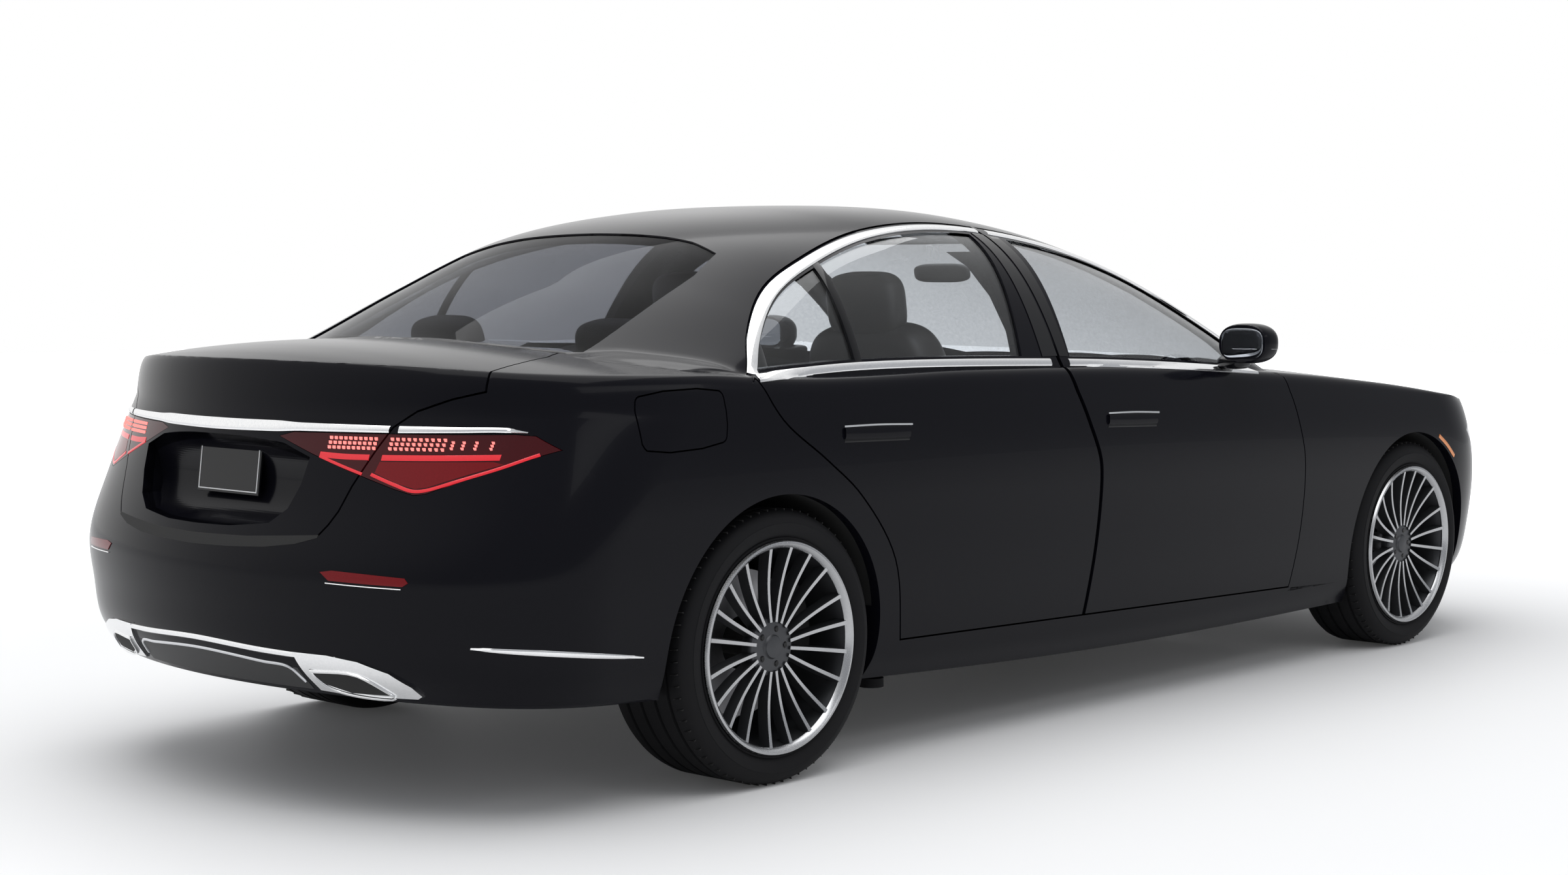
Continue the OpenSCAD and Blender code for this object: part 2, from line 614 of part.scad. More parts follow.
FUEL_T = 12;
FUEL_AXIS_X = -251;
FUEL_PIN_IN = 20;
FUEL_PIN_R = 3;
FUEL_BAR_W = 6;
BULKHEAD_W = 470;
FUEL_LUG_Z = [915, 975];
FUEL_LUG_H = 18;
fuel_pin_y = fy(level(CREASE - .2, 3)) - FUEL_PIN_IN;
module fuel_prism(gap) from_side(-BIG, 0) offset(delta = -gap) polygon(side_pts(FUEL_DOOR));
module fuel_door() color(paint) as_mesh() difference() {
    union() {
        intersection() {
            difference() {
                lower_body();
                lower_body(FUEL_T);
            }
            fuel_prism(shut_gap);
        }
        intersection() {
            lower_body(FUEL_T / 2);
            for (z = FUEL_LUG_Z) translate([fx(FUEL_AXIS_X) - 8, -fuel_pin_y - 30, fz(z) - FUEL_LUG_H / 2])
                cube([16, 38, FUEL_LUG_H]);
        }
    }
    translate([fx(FUEL_AXIS_X), -fuel_pin_y, fz(800)]) cylinder(h = 300, r = FUEL_PIN_R + run_gap, $fn = 16);
}
module fuel_hinge() {
    translate([fx(FUEL_AXIS_X), -fuel_pin_y, fz(903)])
        cylinder(h = fz(987) - fz(903), r = FUEL_PIN_R, $fn = 16);
    translate([fx(FUEL_AXIS_X) - FUEL_PIN_R, -fuel_pin_y, fz(935)])
        cube([FUEL_BAR_W, fuel_pin_y - fy(BULKHEAD_W), fz(955) - fz(935)]);
}

hinge_y = fy(REF_W / 2 - 1) - hinge_in;
front_hinge_x = fx(2497) - shut_gap - hinge_back;
rear_hinge_x = fx(1360) - shut_gap / 2 - hinge_back;
HINGE_Z = [450, 800];
HINGE_H = 36;
HINGE_SKIN = 6;
PIN_H = 84;
module hinge_room(x) for (z = HINGE_Z) {
    difference() {
        translate([x - hinge_pin_r - shut_gap - 2, -BIG, fz(z) - HINGE_H / 2]) cube([BIG, BIG, HINGE_H]);
        difference() {
            translate([-BIG, -BIG, -BIG]) cube(2 * BIG);
            lower_body(HINGE_SKIN);
        }
    }
    translate([x, -hinge_y, fz(z)]) cylinder(h = PIN_H + 2, r = hinge_pin_r + run_gap, center = true, $fn = 20);
}
// Window frames stand further from the roof rails near the top, since they lean in and swing past them
HEAD_Z = 1240;
HEAD_GAP = 9;
module head_room() {
    intersection() {
        children();
        translate([-BIG, -BIG]) square([2 * BIG, BIG + fz(HEAD_Z)]);
    }
    offset(delta = -HEAD_GAP) children();
}
// Right-hand door: outer skin back to the inner face, with its window frame
module door_leaf(x) difference() {
    union() {
        intersection() {
            lower_body();
            from_side(-BIG, -door_inner_y) children(0);
        }
        intersection() {
            difference() {
                cabin();
                cabin(wall_t);
            }
            from_side(-BIG, 0) head_room() children(0);
        }
    }
    from_side(-BIG, 0) children(1);
    from_above() offset(delta = shut_gap) roof_area();
    hinge_room(x);
    arches();
}
module door_pane() intersection() {
    difference() {
        cabin(GLASS_DEEP + 6);
        cabin(GLASS_DEEP + 6 + glass_t);
    }
    from_side(-BIG, 0) children();
}
module front_door(s) color(paint) as_mesh() on_side(s) door_leaf(front_hinge_x) {
    front_door_area();
    front_window_area();
}
module rear_door(s) color(paint) as_mesh() on_side(s) door_leaf(rear_hinge_x) {
    rear_door_area();
    rear_window_area();
}
module front_door_l() front_door(1);
module front_door_r() front_door(-1);
module rear_door_l() rear_door(1);
module rear_door_r() rear_door(-1);
module front_glass(s) color(clear_glass) as_mesh() on_side(s) door_pane() front_window_area();
module rear_glass(s) color(clear_glass) as_mesh() on_side(s) door_pane() rear_window_area();
module front_glass_l() front_glass(1);
module front_glass_r() front_glass(-1);
module rear_glass_l() rear_glass(1);
module rear_glass_r() rear_glass(-1);

// Door mirrors: a shell on a foot that stands on the door's belt
MIRROR = [2050, 1000, 1075];
MIRROR_R = [75, 105, 68];
module mirror_piece(s) color(paint) as_mesh() on_side(s) {
    intersection() {
        translate([fx(MIRROR[0]), -fy(MIRROR[1]), fz(MIRROR[2])]) scale(MIRROR_R) sphere(1, $fn = 14);
        translate([fx(MIRROR[0]) - MIRROR_R[0] / 2, -BIG, 0]) cube([BIG, BIG, BIG]);
    }
    difference() {
        translate([fx(MIRROR[0]) - 30, -fy(MIRROR[1]), fz(985)]) cube([70, fy(MIRROR[1]) - fy(905), 45]);
        lower_body(-run_gap);
    }
}
module mirror_l() mirror_piece(1);
module mirror_r() mirror_piece(-1);

// Hinges: pins in brackets from the posts
POST_X = [2410, 2475];
POST_Y = 740;
// Room between a post and the inner door corner that swings past it
POST_GAP = 32;
// Posts stand inside the sills below this height
POST_FOOT = 774;
SILL_TOP = 320;
module hinges() color(dark) {
    both() side_hinges();
    fuel_hinge();
}
module side_hinges() {
    for (x = [front_hinge_x, rear_hinge_x], z = HINGE_Z) {
        translate([x, -hinge_y, fz(z)]) cylinder(h = PIN_H, r = hinge_pin_r, center = true, $fn = 32);
        translate([x - hinge_pin_r, -hinge_y, fz(z) - 12])
            cube([hinge_pin_r + 1, hinge_y - door_inner_y + POST_GAP, 24]);
    }
    translate([fx(POST_X[0]), -fy(POST_FOOT), fz(FLOOR_Z) + FLOOR_T])
        cube([fx(POST_X[1]) - fx(POST_X[0]), fy(POST_FOOT) - fy(POST_Y), fz(COWL_Z) - fz(FLOOR_Z) - FLOOR_T]);
    translate([fx(POST_X[0]), -door_inner_y + POST_GAP, fz(SILL_TOP)])
        cube([fx(POST_X[1]) - fx(POST_X[0]), door_inner_y - POST_GAP - fy(POST_Y), fz(COWL_Z) - fz(SILL_TOP)]);
    lid_pin(BONNET_AXIS, fz(COWL_Z) + FLOOR_T, BONNET_LUG_Y);
    translate([fx(LID_AXIS[0]), -fy(SHELF_W), fz(LID_AXIS[1])]) rotate([90, 0, 0]) {
        cylinder(h = fy(LID_LUG_Y) - fy(SHELF_W) - LUG_W / 2 - shut_gap, r = LUG_R1, $fn = 32);
        cylinder(h = fy(LID_LUG_Y) - fy(SHELF_W) + LUG_W / 2 + shut_gap, r = LID_PIN_R, $fn = 32);
    }
}

// Floor, tunnel and bulkheads
FLOOR_Z = 190;
FLOOR_T = 40;
COWL_Z = 880;
BENCH_FLOOR_Z = 400;
BOOT_FLOOR_Z = 500;
SHELF_W = 538;
SHELF_Z = 970;
SHELF_T = 30;
RAIL_Z = 400;
RAIL_Y = 380;
TUNNEL_W = 300;
// Plates of the floor: [x from, x to, half width, z from, thickness]
PLATES = [
    [430, 2740, 700, FLOOR_Z, FLOOR_T],
    [2700, 2740, 700, FLOOR_Z, 740],
    [2405, 2740, 760, COWL_Z, FLOOR_T],
    [400, 440, 690, FLOOR_Z, 250],
    [180, 440, 640, BENCH_FLOOR_Z, FLOOR_T],
    [180, 220, 470, BENCH_FLOOR_Z, 140],
    [-930, 220, 470, BOOT_FLOOR_Z, FLOOR_T],
    [-250, -210, BULKHEAD_W, BOOT_FLOOR_Z, 470],
    [-462, -210, SHELF_W, SHELF_Z, SHELF_T]];
module floor_pan() color(dark) {
    for (q = PLATES) translate([fx(q[0]), -fy(q[2]), fz(q[3])]) cube([fx(q[1]) - fx(q[0]), 2 * fy(q[2]), q[4]]);
    translate([fx(430), -TUNNEL_W / 2, fz(FLOOR_Z)]) cube([fx(2740) - fx(430), TUNNEL_W, 180]);
    for (s = [-1, 1]) translate([fx(2720), s * RAIL_Y - 30, fz(RAIL_Z)]) cube([fx(3960) - fx(2720), 60, 80]);
}

JACK_X = [560, 2560];
JACK_Y = 762;
JACK_H = 25;
module jack_pads() color(dark) for (x = JACK_X, s = [-1, 1])
    translate([fx(x), s * fy(JACK_Y), fz(FLOOR_Z) - JACK_H])
    cylinder(h = JACK_H, r = 35, $fn = 48);

// Mouths of the towing sockets: [x, direction inwards]
TOW = [[-1010, 1], [4030, -1]];
TOW_Y = 520;
TOW_Z = 460;
TOW_R = 18;
module tow_hole() translate([-BIG, -fy(TOW_Y), fz(TOW_Z)]) rotate([0, 90, 0])
    cylinder(h = 2 * BIG, r = TOW_R + run_gap, $fn = 24);
module tow_sockets() color(bright) {
    for (q = TOW) translate([fx(q[0]), -fy(TOW_Y), fz(TOW_Z)]) rotate([0, 90 * q[1], 0]) difference() {
        cylinder(h = 140, r = TOW_R, $fn = 48);
        translate([0, 0, -1]) cylinder(h = 81, r = 10, $fn = 48);
    }
}

// Cabin
DASH_Z = 560;
module dashboard() color(trim_color) difference() {
    translate([fx(2060), 0, fz(DASH_Z)]) rotate([90, 0, 0])
        linear_extrude(2 * fy(690), center = true)
        polygon([[0, 180], [60, 270], [180, 315], [345, COWL_Z - DASH_Z], [600, COWL_Z - DASH_Z], [600, 200],
            [260, 0], [60, 20]]);
    at_steering() translate([0, 0, -COLUMN_L - 1]) cylinder(h = COLUMN_L + 2, r = COLUMN_R + run_gap, $fn = 48);
}
STEER = [1960, 390, 830];
COLUMN_L = 200;
COLUMN_R = 28;
module at_steering() translate([fx(STEER[0]), fy(STEER[1]), fz(STEER[2])]) rotate([0, -65, 0]) children();
module steering_wheel() color(trim_color) at_steering() {
    rotate_extrude($fn = 64) translate([steering_d / 2 - 16, 0]) circle(16, $fn = 24);
    cylinder(h = 40, r = 75, center = true, $fn = 48);
    translate([-12, -steering_d / 2 + 16, -10]) cube([24, steering_d - 32, 20]);
    translate([0, 0, -COLUMN_L]) cylinder(h = COLUMN_L, r = COLUMN_R, $fn = 48);
}
module chair(w) {
    rotate([90, 0, 0]) linear_extrude(w, center = true) offset(r = 30, $fn = 24) offset(delta = -30)
        polygon([[-260, -190], [300, -130], [320, 20], [-160, 0], [-420, 560], [-540, 580], [-400, 0]]);
    translate([-500, 0, 650]) rotate([90, 0, 0]) linear_extrude(w / 2, center = true) offset(r = 30, $fn = 24)
        offset(delta = -30) polygon([[-60, -90], [50, -100], [70, 70], [-50, 90]]);
}
module front_seats() color(leather) both() translate([fx(1480), -fy(370), fz(seat_z)]) {
    chair(seat_w);
    translate([-200, -seat_w / 3, -fz(seat_z) + fz(FLOOR_Z) + FLOOR_T])
        cube([420, 2 * seat_w / 3, fz(seat_z) - fz(FLOOR_Z) - FLOOR_T - 160]);
}
module rear_bench() color(leather) translate([fx(440), 0, fz(seat_z)]) {
    bottom = fz(BENCH_FLOOR_Z) + FLOOR_T - fz(seat_z);
    boot = fz(BOOT_FLOOR_Z) + FLOOR_T - fz(seat_z);
    rotate([90, 0, 0]) linear_extrude(2 * fy(640), center = true) offset(r = 30, $fn = 24) offset(delta = -30)
        polygon([[-218, bottom], [320, bottom], [330, 20], [-120, 0], [-400, 520], [-540, 540], [-425, boot],
            [-218, boot]]);
    for (y = [-370, 370]) translate([-440, y, 530]) rotate([90, 0, 0]) linear_extrude(260, center = true)
        offset(r = 30, $fn = 24) offset(delta = -30) polygon([[-60, -90], [50, -100], [70, 70], [-50, 90]]);
}

// Engine, running gear
SUBFRAME_Z = -150;
SUBFRAME_T = 60;
engine_z = front_axle_z + SUBFRAME_Z + SUBFRAME_T;
module engine_block() color(bright) translate([fx(2860), -260, engine_z])
    cube([fx(3560) - fx(2860), 520, fz(760) - engine_z]);

front_wheel_y = fy(REF_W / 2) - wheel_inset - front_tyre_w / 2;
rear_wheel_y = fy(REF_W / 2) - wheel_inset - rear_tyre_w / 2;
STEER_PIN_R = 12;
KING_IN = 90;
ARM_T = 40;
KNUCKLE_H = 150;
SPINDLE_OUT = 50;
king_y = front_wheel_y - KING_IN;
arm_z = front_axle_z - KNUCKLE_H / 2 - ARM_T - run_gap;
module post(x, y, z0, z1) translate([x - 30, y - 30, z0]) cube([60, 60, z1 - z0]);
module subframes() color(dark) {
    translate([x_front_axle - 180, -RAIL_Y - 30, front_axle_z + SUBFRAME_Z])
        cube([360, 2 * RAIL_Y + 60, SUBFRAME_T]);
    translate([x_rear_axle - 200, -RAIL_Y - 30, rear_axle_z - 120]) cube([400, 2 * RAIL_Y + 60, 80]);
    translate([x_rear_axle - 120, -90, rear_axle_z - 60]) cube([240, 180, 160]);
    for (s = [-1, 1]) {
        for (x = [-140, 140]) {
            post(x_front_axle + x, s * RAIL_Y, front_axle_z + SUBFRAME_Z, fz(RAIL_Z));
            post(x_rear_axle + x, s * RAIL_Y, rear_axle_z - 60, fz(BOOT_FLOOR_Z));
        }
        translate([x_front_axle - ARM_T / 2, s > 0 ? 300 : -king_y - ARM_T / 2, arm_z])
            cube([ARM_T, king_y + ARM_T / 2 - 300, ARM_T]);
        translate([x_front_axle, s * king_y, arm_z]) cylinder(h = ARM_T + 30, r = STEER_PIN_R, $fn = 32);
        translate([x_rear_axle, s * (rear_wheel_y + SPINDLE_OUT), rear_axle_z]) rotate([s * 90, 0, 0])
            cylinder(h = rear_wheel_y, r = hub_bore_r - run_gap, $fn = 48);
        translate([x_rear_axle, s * rear_wheel_y, rear_axle_z]) mirror([0, s > 0 ? 0 : 1, 0]) {
            caliper(true);
            translate([10, -110, 10]) cube([200, 46, 50]);
        }
    }
}
// Brake caliper over the disc of a wheel that stands at the origin with +Y outwards
CALIPER_R = [110, 226];
CALIPER_GAP = 6;
CALIPER_T = 24;
module caliper(rear) rotate([0, rear ? -20 : 200, 0]) rotate([-90, 0, 0]) difference() {
    rotate([0, 0, -30]) rotate_extrude(angle = 60, $fn = 96) polygon([
        [CALIPER_R[0], -DISC_T - CALIPER_GAP - CALIPER_T], [CALIPER_R[1], -DISC_T - CALIPER_GAP - CALIPER_T],
        [CALIPER_R[1], CALIPER_GAP + CALIPER_T], [CALIPER_R[0], CALIPER_GAP + CALIPER_T],
        [CALIPER_R[0], CALIPER_GAP], [DISC_R + CALIPER_GAP, CALIPER_GAP],
        [DISC_R + CALIPER_GAP, -DISC_T - CALIPER_GAP], [CALIPER_R[0], -DISC_T - CALIPER_GAP]]);
}
SILENCER_Y = 520;
SILENCER_Z = 370;
SILENCER_R = 85;
module exhaust() color(bright) {
    for (s = [-1, 1]) {
        translate([fx(-820), s * SILENCER_Y, fz(SILENCER_Z)]) rotate([0, 90, 0])
            cylinder(h = 320, r = SILENCER_R, $fn = 48);
        translate([fx(-960), s * SILENCER_Y, fz(SILENCER_Z) - 20]) rotate([0, 90, 0])
            cylinder(h = 150, r = 32, $fn = 32);
        for (x = [-780, -580]) translate([fx(x), s * (SILENCER_Y - 60), fz(SILENCER_Z)])
            cylinder(h = fz(BOOT_FLOOR_Z) - fz(SILENCER_Z), r = 8, $fn = 24);
    }
}

module knuckle(s) color(dark) on_side(s) difference() {
    union() {
        translate([x_front_axle, -king_y, front_axle_z - KNUCKLE_H / 2])
            cylinder(h = KNUCKLE_H, r = 32, $fn = 48);
        translate([x_front_axle, -front_wheel_y - SPINDLE_OUT, front_axle_z]) rotate([-90, 0, 0])
            cylinder(h = SPINDLE_OUT + KING_IN, r = hub_bore_r - run_gap, $fn = 48);
        translate([x_front_axle, -front_wheel_y, front_axle_z]) mirror([0, 1, 0]) caliper(false);
        translate([x_front_axle - 210, -king_y - 26, front_axle_z + 10]) cube([200, 48, 50]);
    }
    translate([x_front_axle, -king_y, front_axle_z - KNUCKLE_H / 2 - 1])
        cylinder(h = 32, r = STEER_PIN_R + run_gap, $fn = 48);
}
module knuckle_l() knuckle(1);
module knuckle_r() knuckle(-1);

// Wheels, standing at the origin with +Y outwards
RIM_LIP = 18;
BARREL_T = 12;
DISC_R = 190;
DISC_T = 36;
HUB_R = 78;
SPOKE_T = 34;
LUG_N = 5;
LUG_PCD = 112;
LUG_R = 8;
module rim(w) {
    edge = w / 2 - 8;
    difference() {
        union() {
            rotate([-90, 0, 0]) rotate_extrude($fn = 96) polygon([[rim_d / 2 - RIM_LIP - BARREL_T, -edge + 20],
                [rim_d / 2 - RIM_LIP, -edge + 20], [rim_d / 2, -edge + 12], [rim_d / 2, -edge],
                [rim_d / 2 - RIM_LIP - BARREL_T, -edge]]);
            rotate([-90, 0, 0]) rotate_extrude($fn = 96) polygon([[rim_d / 2 - RIM_LIP - BARREL_T, -edge],
                [rim_d / 2 - RIM_LIP, -edge], [rim_d / 2 - RIM_LIP, edge - 12], [rim_d / 2, edge - 8],
                [rim_d / 2, edge], [rim_d / 2 - RIM_LIP - BARREL_T, edge]]);
            translate([0, edge - 10, 0]) rotate([90, 0, 0]) linear_extrude(SPOKE_T) difference() {
                circle(rim_d / 2 - RIM_LIP - 2, $fn = 96);
                for (i = [0:spoke_n - 1]) rotate(i * 360 / spoke_n) polygon([[HUB_R + 14, -7], [HUB_R + 14, 7],
                    [rim_d / 2 - RIM_LIP - 16, 27], [rim_d / 2 - RIM_LIP - 16, -27]]);
            }
            translate([0, edge - 24, 0]) rotate([90, 0, 0])
                cylinder(h = edge - 24 + 10, r = HUB_R - 8, $fn = 64);
        }
        translate([0, edge - 40, 0]) rotate([90, 0, 0]) cylinder(h = w, r = hub_bore_r, $fn = 64);
        for (i = [0:LUG_N - 1]) rotate([0, i * 360 / LUG_N, 0]) translate([LUG_PCD / 2, edge, 0])
            rotate([90, 0, 0]) cylinder(h = 34, r = LUG_R, $fn = 24);
    }
    rotate([90, 0, 0]) difference() {
        cylinder(h = DISC_T, r = DISC_R, $fn = 96);
        translate([0, 0, -1]) cylinder(h = DISC_T + 2, r = HUB_R - 8, $fn = 64);
    }
}
SIDEWALL_IN = 14;
module tyre(d, w) rotate([-90, 0, 0]) rotate_extrude($fn = 96) difference() {
    union() {
        translate([rim_d / 2 - 6, -w / 2 + SIDEWALL_IN]) square([d / 2 - rim_d / 2 + 6, w - 2 * SIDEWALL_IN]);
        translate([rim_d / 2 + 4, -w / 2]) square([d / 2 - rim_d / 2 - 34, w]);
    }
    translate([0, -w / 2 - 1]) square([rim_d / 2 + run_gap, w + 2]);
}
module at_wheel(front, s) translate([front ? x_front_axle : x_rear_axle,
    s * (front ? front_wheel_y : rear_wheel_y), front ? front_axle_z : rear_axle_z])
    rotate([0, 0, s > 0 ? 0 : 180]) children();
module rim_fl() color(bright) at_wheel(true, 1) rim(front_tyre_w);
module rim_fr() color(bright) at_wheel(true, -1) rim(front_tyre_w);
module rim_rl() color(bright) at_wheel(false, 1) rim(rear_tyre_w);
module rim_rr() color(bright) at_wheel(false, -1) rim(rear_tyre_w);
module tyre_fl() color(rubber_color) at_wheel(true, 1) tyre(front_tyre_d, front_tyre_w);
module tyre_fr() color(rubber_color) at_wheel(true, -1) tyre(front_tyre_d, front_tyre_w);
module tyre_rl() color(rubber_color) at_wheel(false, 1) tyre(rear_tyre_d, rear_tyre_w);
module tyre_rr() color(rubber_color) at_wheel(false, -1) tyre(rear_tyre_d, rear_tyre_w);
module tailpipe_hole() translate([fx(-1300), -fy(650), fz(300)]) cube([300, fy(250), 60]);

floor_pan();
sills();
b_pillars();
roof_rails();
quarter_panels();
front_fenders();
roof_panel();
windshield();
backlight();
front_bumper();
rear_bumper();
grille();
headlamps();
tail_lamps();
hinges();
jack_pads();
tow_sockets();
dashboard();
steering_wheel();
front_seats();
rear_bench();
engine_block();
subframes();
exhaust();
bonnet();
trunk_lid();
lid_lamps();
fuel_door();
front_door_l();
front_door_r();
rear_door_l();
rear_door_r();
front_glass_l();
front_glass_r();
rear_glass_l();
rear_glass_r();
mirror_l();
mirror_r();
knuckle_l();
knuckle_r();
rim_fl();
rim_fr();
rim_rl();
rim_rr();
tyre_fl();
tyre_fr();
tyre_rl();
tyre_rr();
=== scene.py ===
# %% [markdown]
# # A long luxury sedan, dressed for a studio picture
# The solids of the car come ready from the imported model. This lesson covers them with a smooth
# painted skin, glass, bright trim, lamps, wheels and a cabin, one short step at a time.

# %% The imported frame
import json
import math
import bmesh
import bpy
import numpy as np
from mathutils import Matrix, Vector
from mathutils.bvhtree import BVHTree

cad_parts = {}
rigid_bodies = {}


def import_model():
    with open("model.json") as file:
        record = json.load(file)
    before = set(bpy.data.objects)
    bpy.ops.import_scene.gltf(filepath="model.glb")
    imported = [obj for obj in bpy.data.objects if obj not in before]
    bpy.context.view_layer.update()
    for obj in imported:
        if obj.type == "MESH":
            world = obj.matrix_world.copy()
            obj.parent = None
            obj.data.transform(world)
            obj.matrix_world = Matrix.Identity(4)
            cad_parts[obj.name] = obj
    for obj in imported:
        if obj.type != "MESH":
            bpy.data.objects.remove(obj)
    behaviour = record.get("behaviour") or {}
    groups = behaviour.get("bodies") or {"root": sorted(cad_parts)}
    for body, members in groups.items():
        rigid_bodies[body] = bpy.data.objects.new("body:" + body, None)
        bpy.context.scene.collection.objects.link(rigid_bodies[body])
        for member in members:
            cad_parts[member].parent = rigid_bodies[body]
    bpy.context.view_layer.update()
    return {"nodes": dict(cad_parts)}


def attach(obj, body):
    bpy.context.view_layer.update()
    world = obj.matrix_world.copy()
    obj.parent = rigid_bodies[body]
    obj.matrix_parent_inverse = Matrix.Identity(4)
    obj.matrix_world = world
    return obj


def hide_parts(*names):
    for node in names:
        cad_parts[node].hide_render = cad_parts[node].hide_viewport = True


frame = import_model()

# %% [markdown]
# ## The tables of the body
# A car body is drawn as a few level lines round it, a deck line over bonnet and boot, and a roof
# line. The numbers are millimetres from the rear axle, as a body draughtsman writes them, and a
# smooth curve runs through each table. Keeping tables instead of loose points makes every surface
# exact and smooth.

# %% Tables and the smooth curve
LEVELS = np.array([
    [300, 185, 200, 890, -1030, 4030, .30, 270], [380, 262, 285, 925, -1090, 4100, .30, 270],
    [480, 400, 410, 944, -1108, 4130, .30, 270], [610, 600, 560, 957, -1115, 4141, .30, 270],
    [770, 790, 700, 958, -1070, 4110, .33, 300], [980, 958, 835, 942, -1015, 4030, .40, 400],
    [1030, 1030, 880, 905, -990, 3900, .42, 420]])
DECK = [[-1100, 1048], [-1030, 1080], [-940, 1103], [-830, 1119], [-700, 1128], [-500, 1130],
        [-250, 1116], [0, 1090], [800, 1080], [1600, 1062], [2300, 1028], [2800, 990], [3300, 936],
        [3700, 868], [4000, 792], [4140, 745]]
FALL = [[-1100, .00012], [-600, .000096], [0, .00006], [600, .000055], [4200, .000055]]
ROOF = [[-300, 1030], [-100, 1120], [150, 1275], [400, 1415], [700, 1486], [950, 1501],
        [1250, 1488], [1550, 1432], [1800, 1342], [2050, 1215], [2300, 1060], [2550, 880]]
ROOF_BOW = [[-300, -435], [-100, -384], [150, -259], [400, -151], [700, -45], [1000, 0], [1400, 60],
            [1900, 220], [2300, 360], [2600, 420]]
BELT = [[-300, 855], [-100, 893], [150, 906], [600, 912], [1200, 912], [1800, 905], [2300, 885],
        [2700, 850]]
FILLET = [[-330, 130], [-200, 90], [-90, 24], [0, 8], [300, 2], [2600, 2]]
AXLE = -1513.0
Z_TAIL, Z_MIDDLE, Z_NOSE, HALF_WIDTH, TAIL_X, NOSE_X, TAIL_BOW, TAIL_CORNER = range(8)
TOP_LEVEL, RIM_LEVEL = 6, 5
STATIONS = np.array([-1115, 1400, 4141])
NOSE_BOW, NOSE_CORNER = .0003, 380
END_SPREAD, TAIL_ROUND, NOSE_ROUND, CORNER_ROOT = 2.2, 9, 6, .4


def curve(table, x):
    t, x = np.asarray(table, float), np.asarray(x, float)
    h = np.diff(t[:, 0])
    s = np.diff(t[:, 1]) / h
    m = np.r_[s[0], (s[:-1] * h[1:] + s[1:] * h[:-1]) / (h[1:] + h[:-1]), s[-1]]
    i = np.clip(np.searchsorted(t[:, 0], x, side="right") - 1, 0, len(t) - 2)
    u, a, b = (x - t[i, 0]) / h[i], t[i, 1], t[i + 1, 1]
    p, q = m[i] * h[i], m[i + 1] * h[i]
    return a + u * p + u * u * (3 * (b - a) - 2 * p - q) + u ** 3 * (2 * (a - b) + p + q)


def deck(x, y):
    return curve(DECK, x) - curve(FALL, x) * y * y


def level(w, col):
    return curve(np.c_[np.arange(len(LEVELS)), LEVELS[:, col]], w)


def end_curve(v, power):
    return 1 - np.clip(1 - v ** power, 0, 1) ** CORNER_ROOT


def plan(w, c, t=0.0):
    # c runs from 0 to 1 round the tail, to 2 along the side and to 3 round the nose
    half, tail, nose = level(w, HALF_WIDTH) - t, level(w, TAIL_X) + t, level(w, NOSE_X) - t
    bow, corner = level(w, TAIL_BOW) / 1000, level(w, TAIL_CORNER)
    v = np.where(c < 1, 1 - np.clip(1 - c, 0, 1) ** END_SPREAD,
                 np.where(c > 2, 1 - np.clip(c - 2, 0, 1) ** END_SPREAD, 1))
    back = tail + bow * half * half * v * v + corner * end_curve(v, TAIL_ROUND)
    front = nose - NOSE_BOW * half * half * v * v - NOSE_CORNER * end_curve(v, NOSE_ROUND)
    tail_end = tail + bow * half * half + corner
    nose_end = nose - NOSE_BOW * half * half - NOSE_CORNER
    along = tail_end + (c - 1) * (nose_end - tail_end)
    return np.where(c < 1, back, np.where(c > 2, front, along)), half * v


print("deck over the rear axle:", round(float(deck(0, 0))), "mm")

# %% [markdown]
# ## From tables to closed skins
# Each half section is mirrored and lofted into a closed solid, as hulls are drawn in naval work.
# Dense solids made this way can be cut by prisms along the shut lines, and they still know their
# own exact normals, which keeps reflections in dark gloss paint calm right up to each edge.

# %% Lofted skins
def place(p):
    return (np.asarray(p, float) + [AXLE, 0, 0]) / 1000


def face_out(me, merge=0.0):
    bm = bmesh.new()
    bm.from_mesh(me)
    if merge:
        bmesh.ops.remove_doubles(bm, verts=bm.verts, dist=merge)
    bmesh.ops.recalc_face_normals(bm, faces=bm.faces)
    bm.to_mesh(me)
    bm.free()


def link(name, data):
    ob = bpy.data.objects.new(name, data)
    bpy.context.scene.collection.objects.link(ob)
    return ob


def make(name, verts, faces, smooth=True):
    me = bpy.data.meshes.new(name)
    me.from_pydata([tuple(v) for v in verts], [], faces)
    face_out(me)
    me.polygons.foreach_set("use_smooth", [smooth] * len(me.polygons))
    return link(name, me)


def soften(ob, sharp):
    ob.data.polygons.foreach_set("use_smooth", [True] * len(ob.data.polygons))
    ob.data.set_sharp_from_angle(angle=sharp)
    return ob


def ring_faces(n, m, closed=False):
    # quads between n rings of m points, the last ring joined to the first where closed
    pairs = [(i, (i + 1) % n) for i in range(n if closed else n - 1)]
    return [[a * m + j, a * m + (j + 1) % m, b * m + (j + 1) % m, b * m + j]
            for a, b in pairs for j in range(m)]


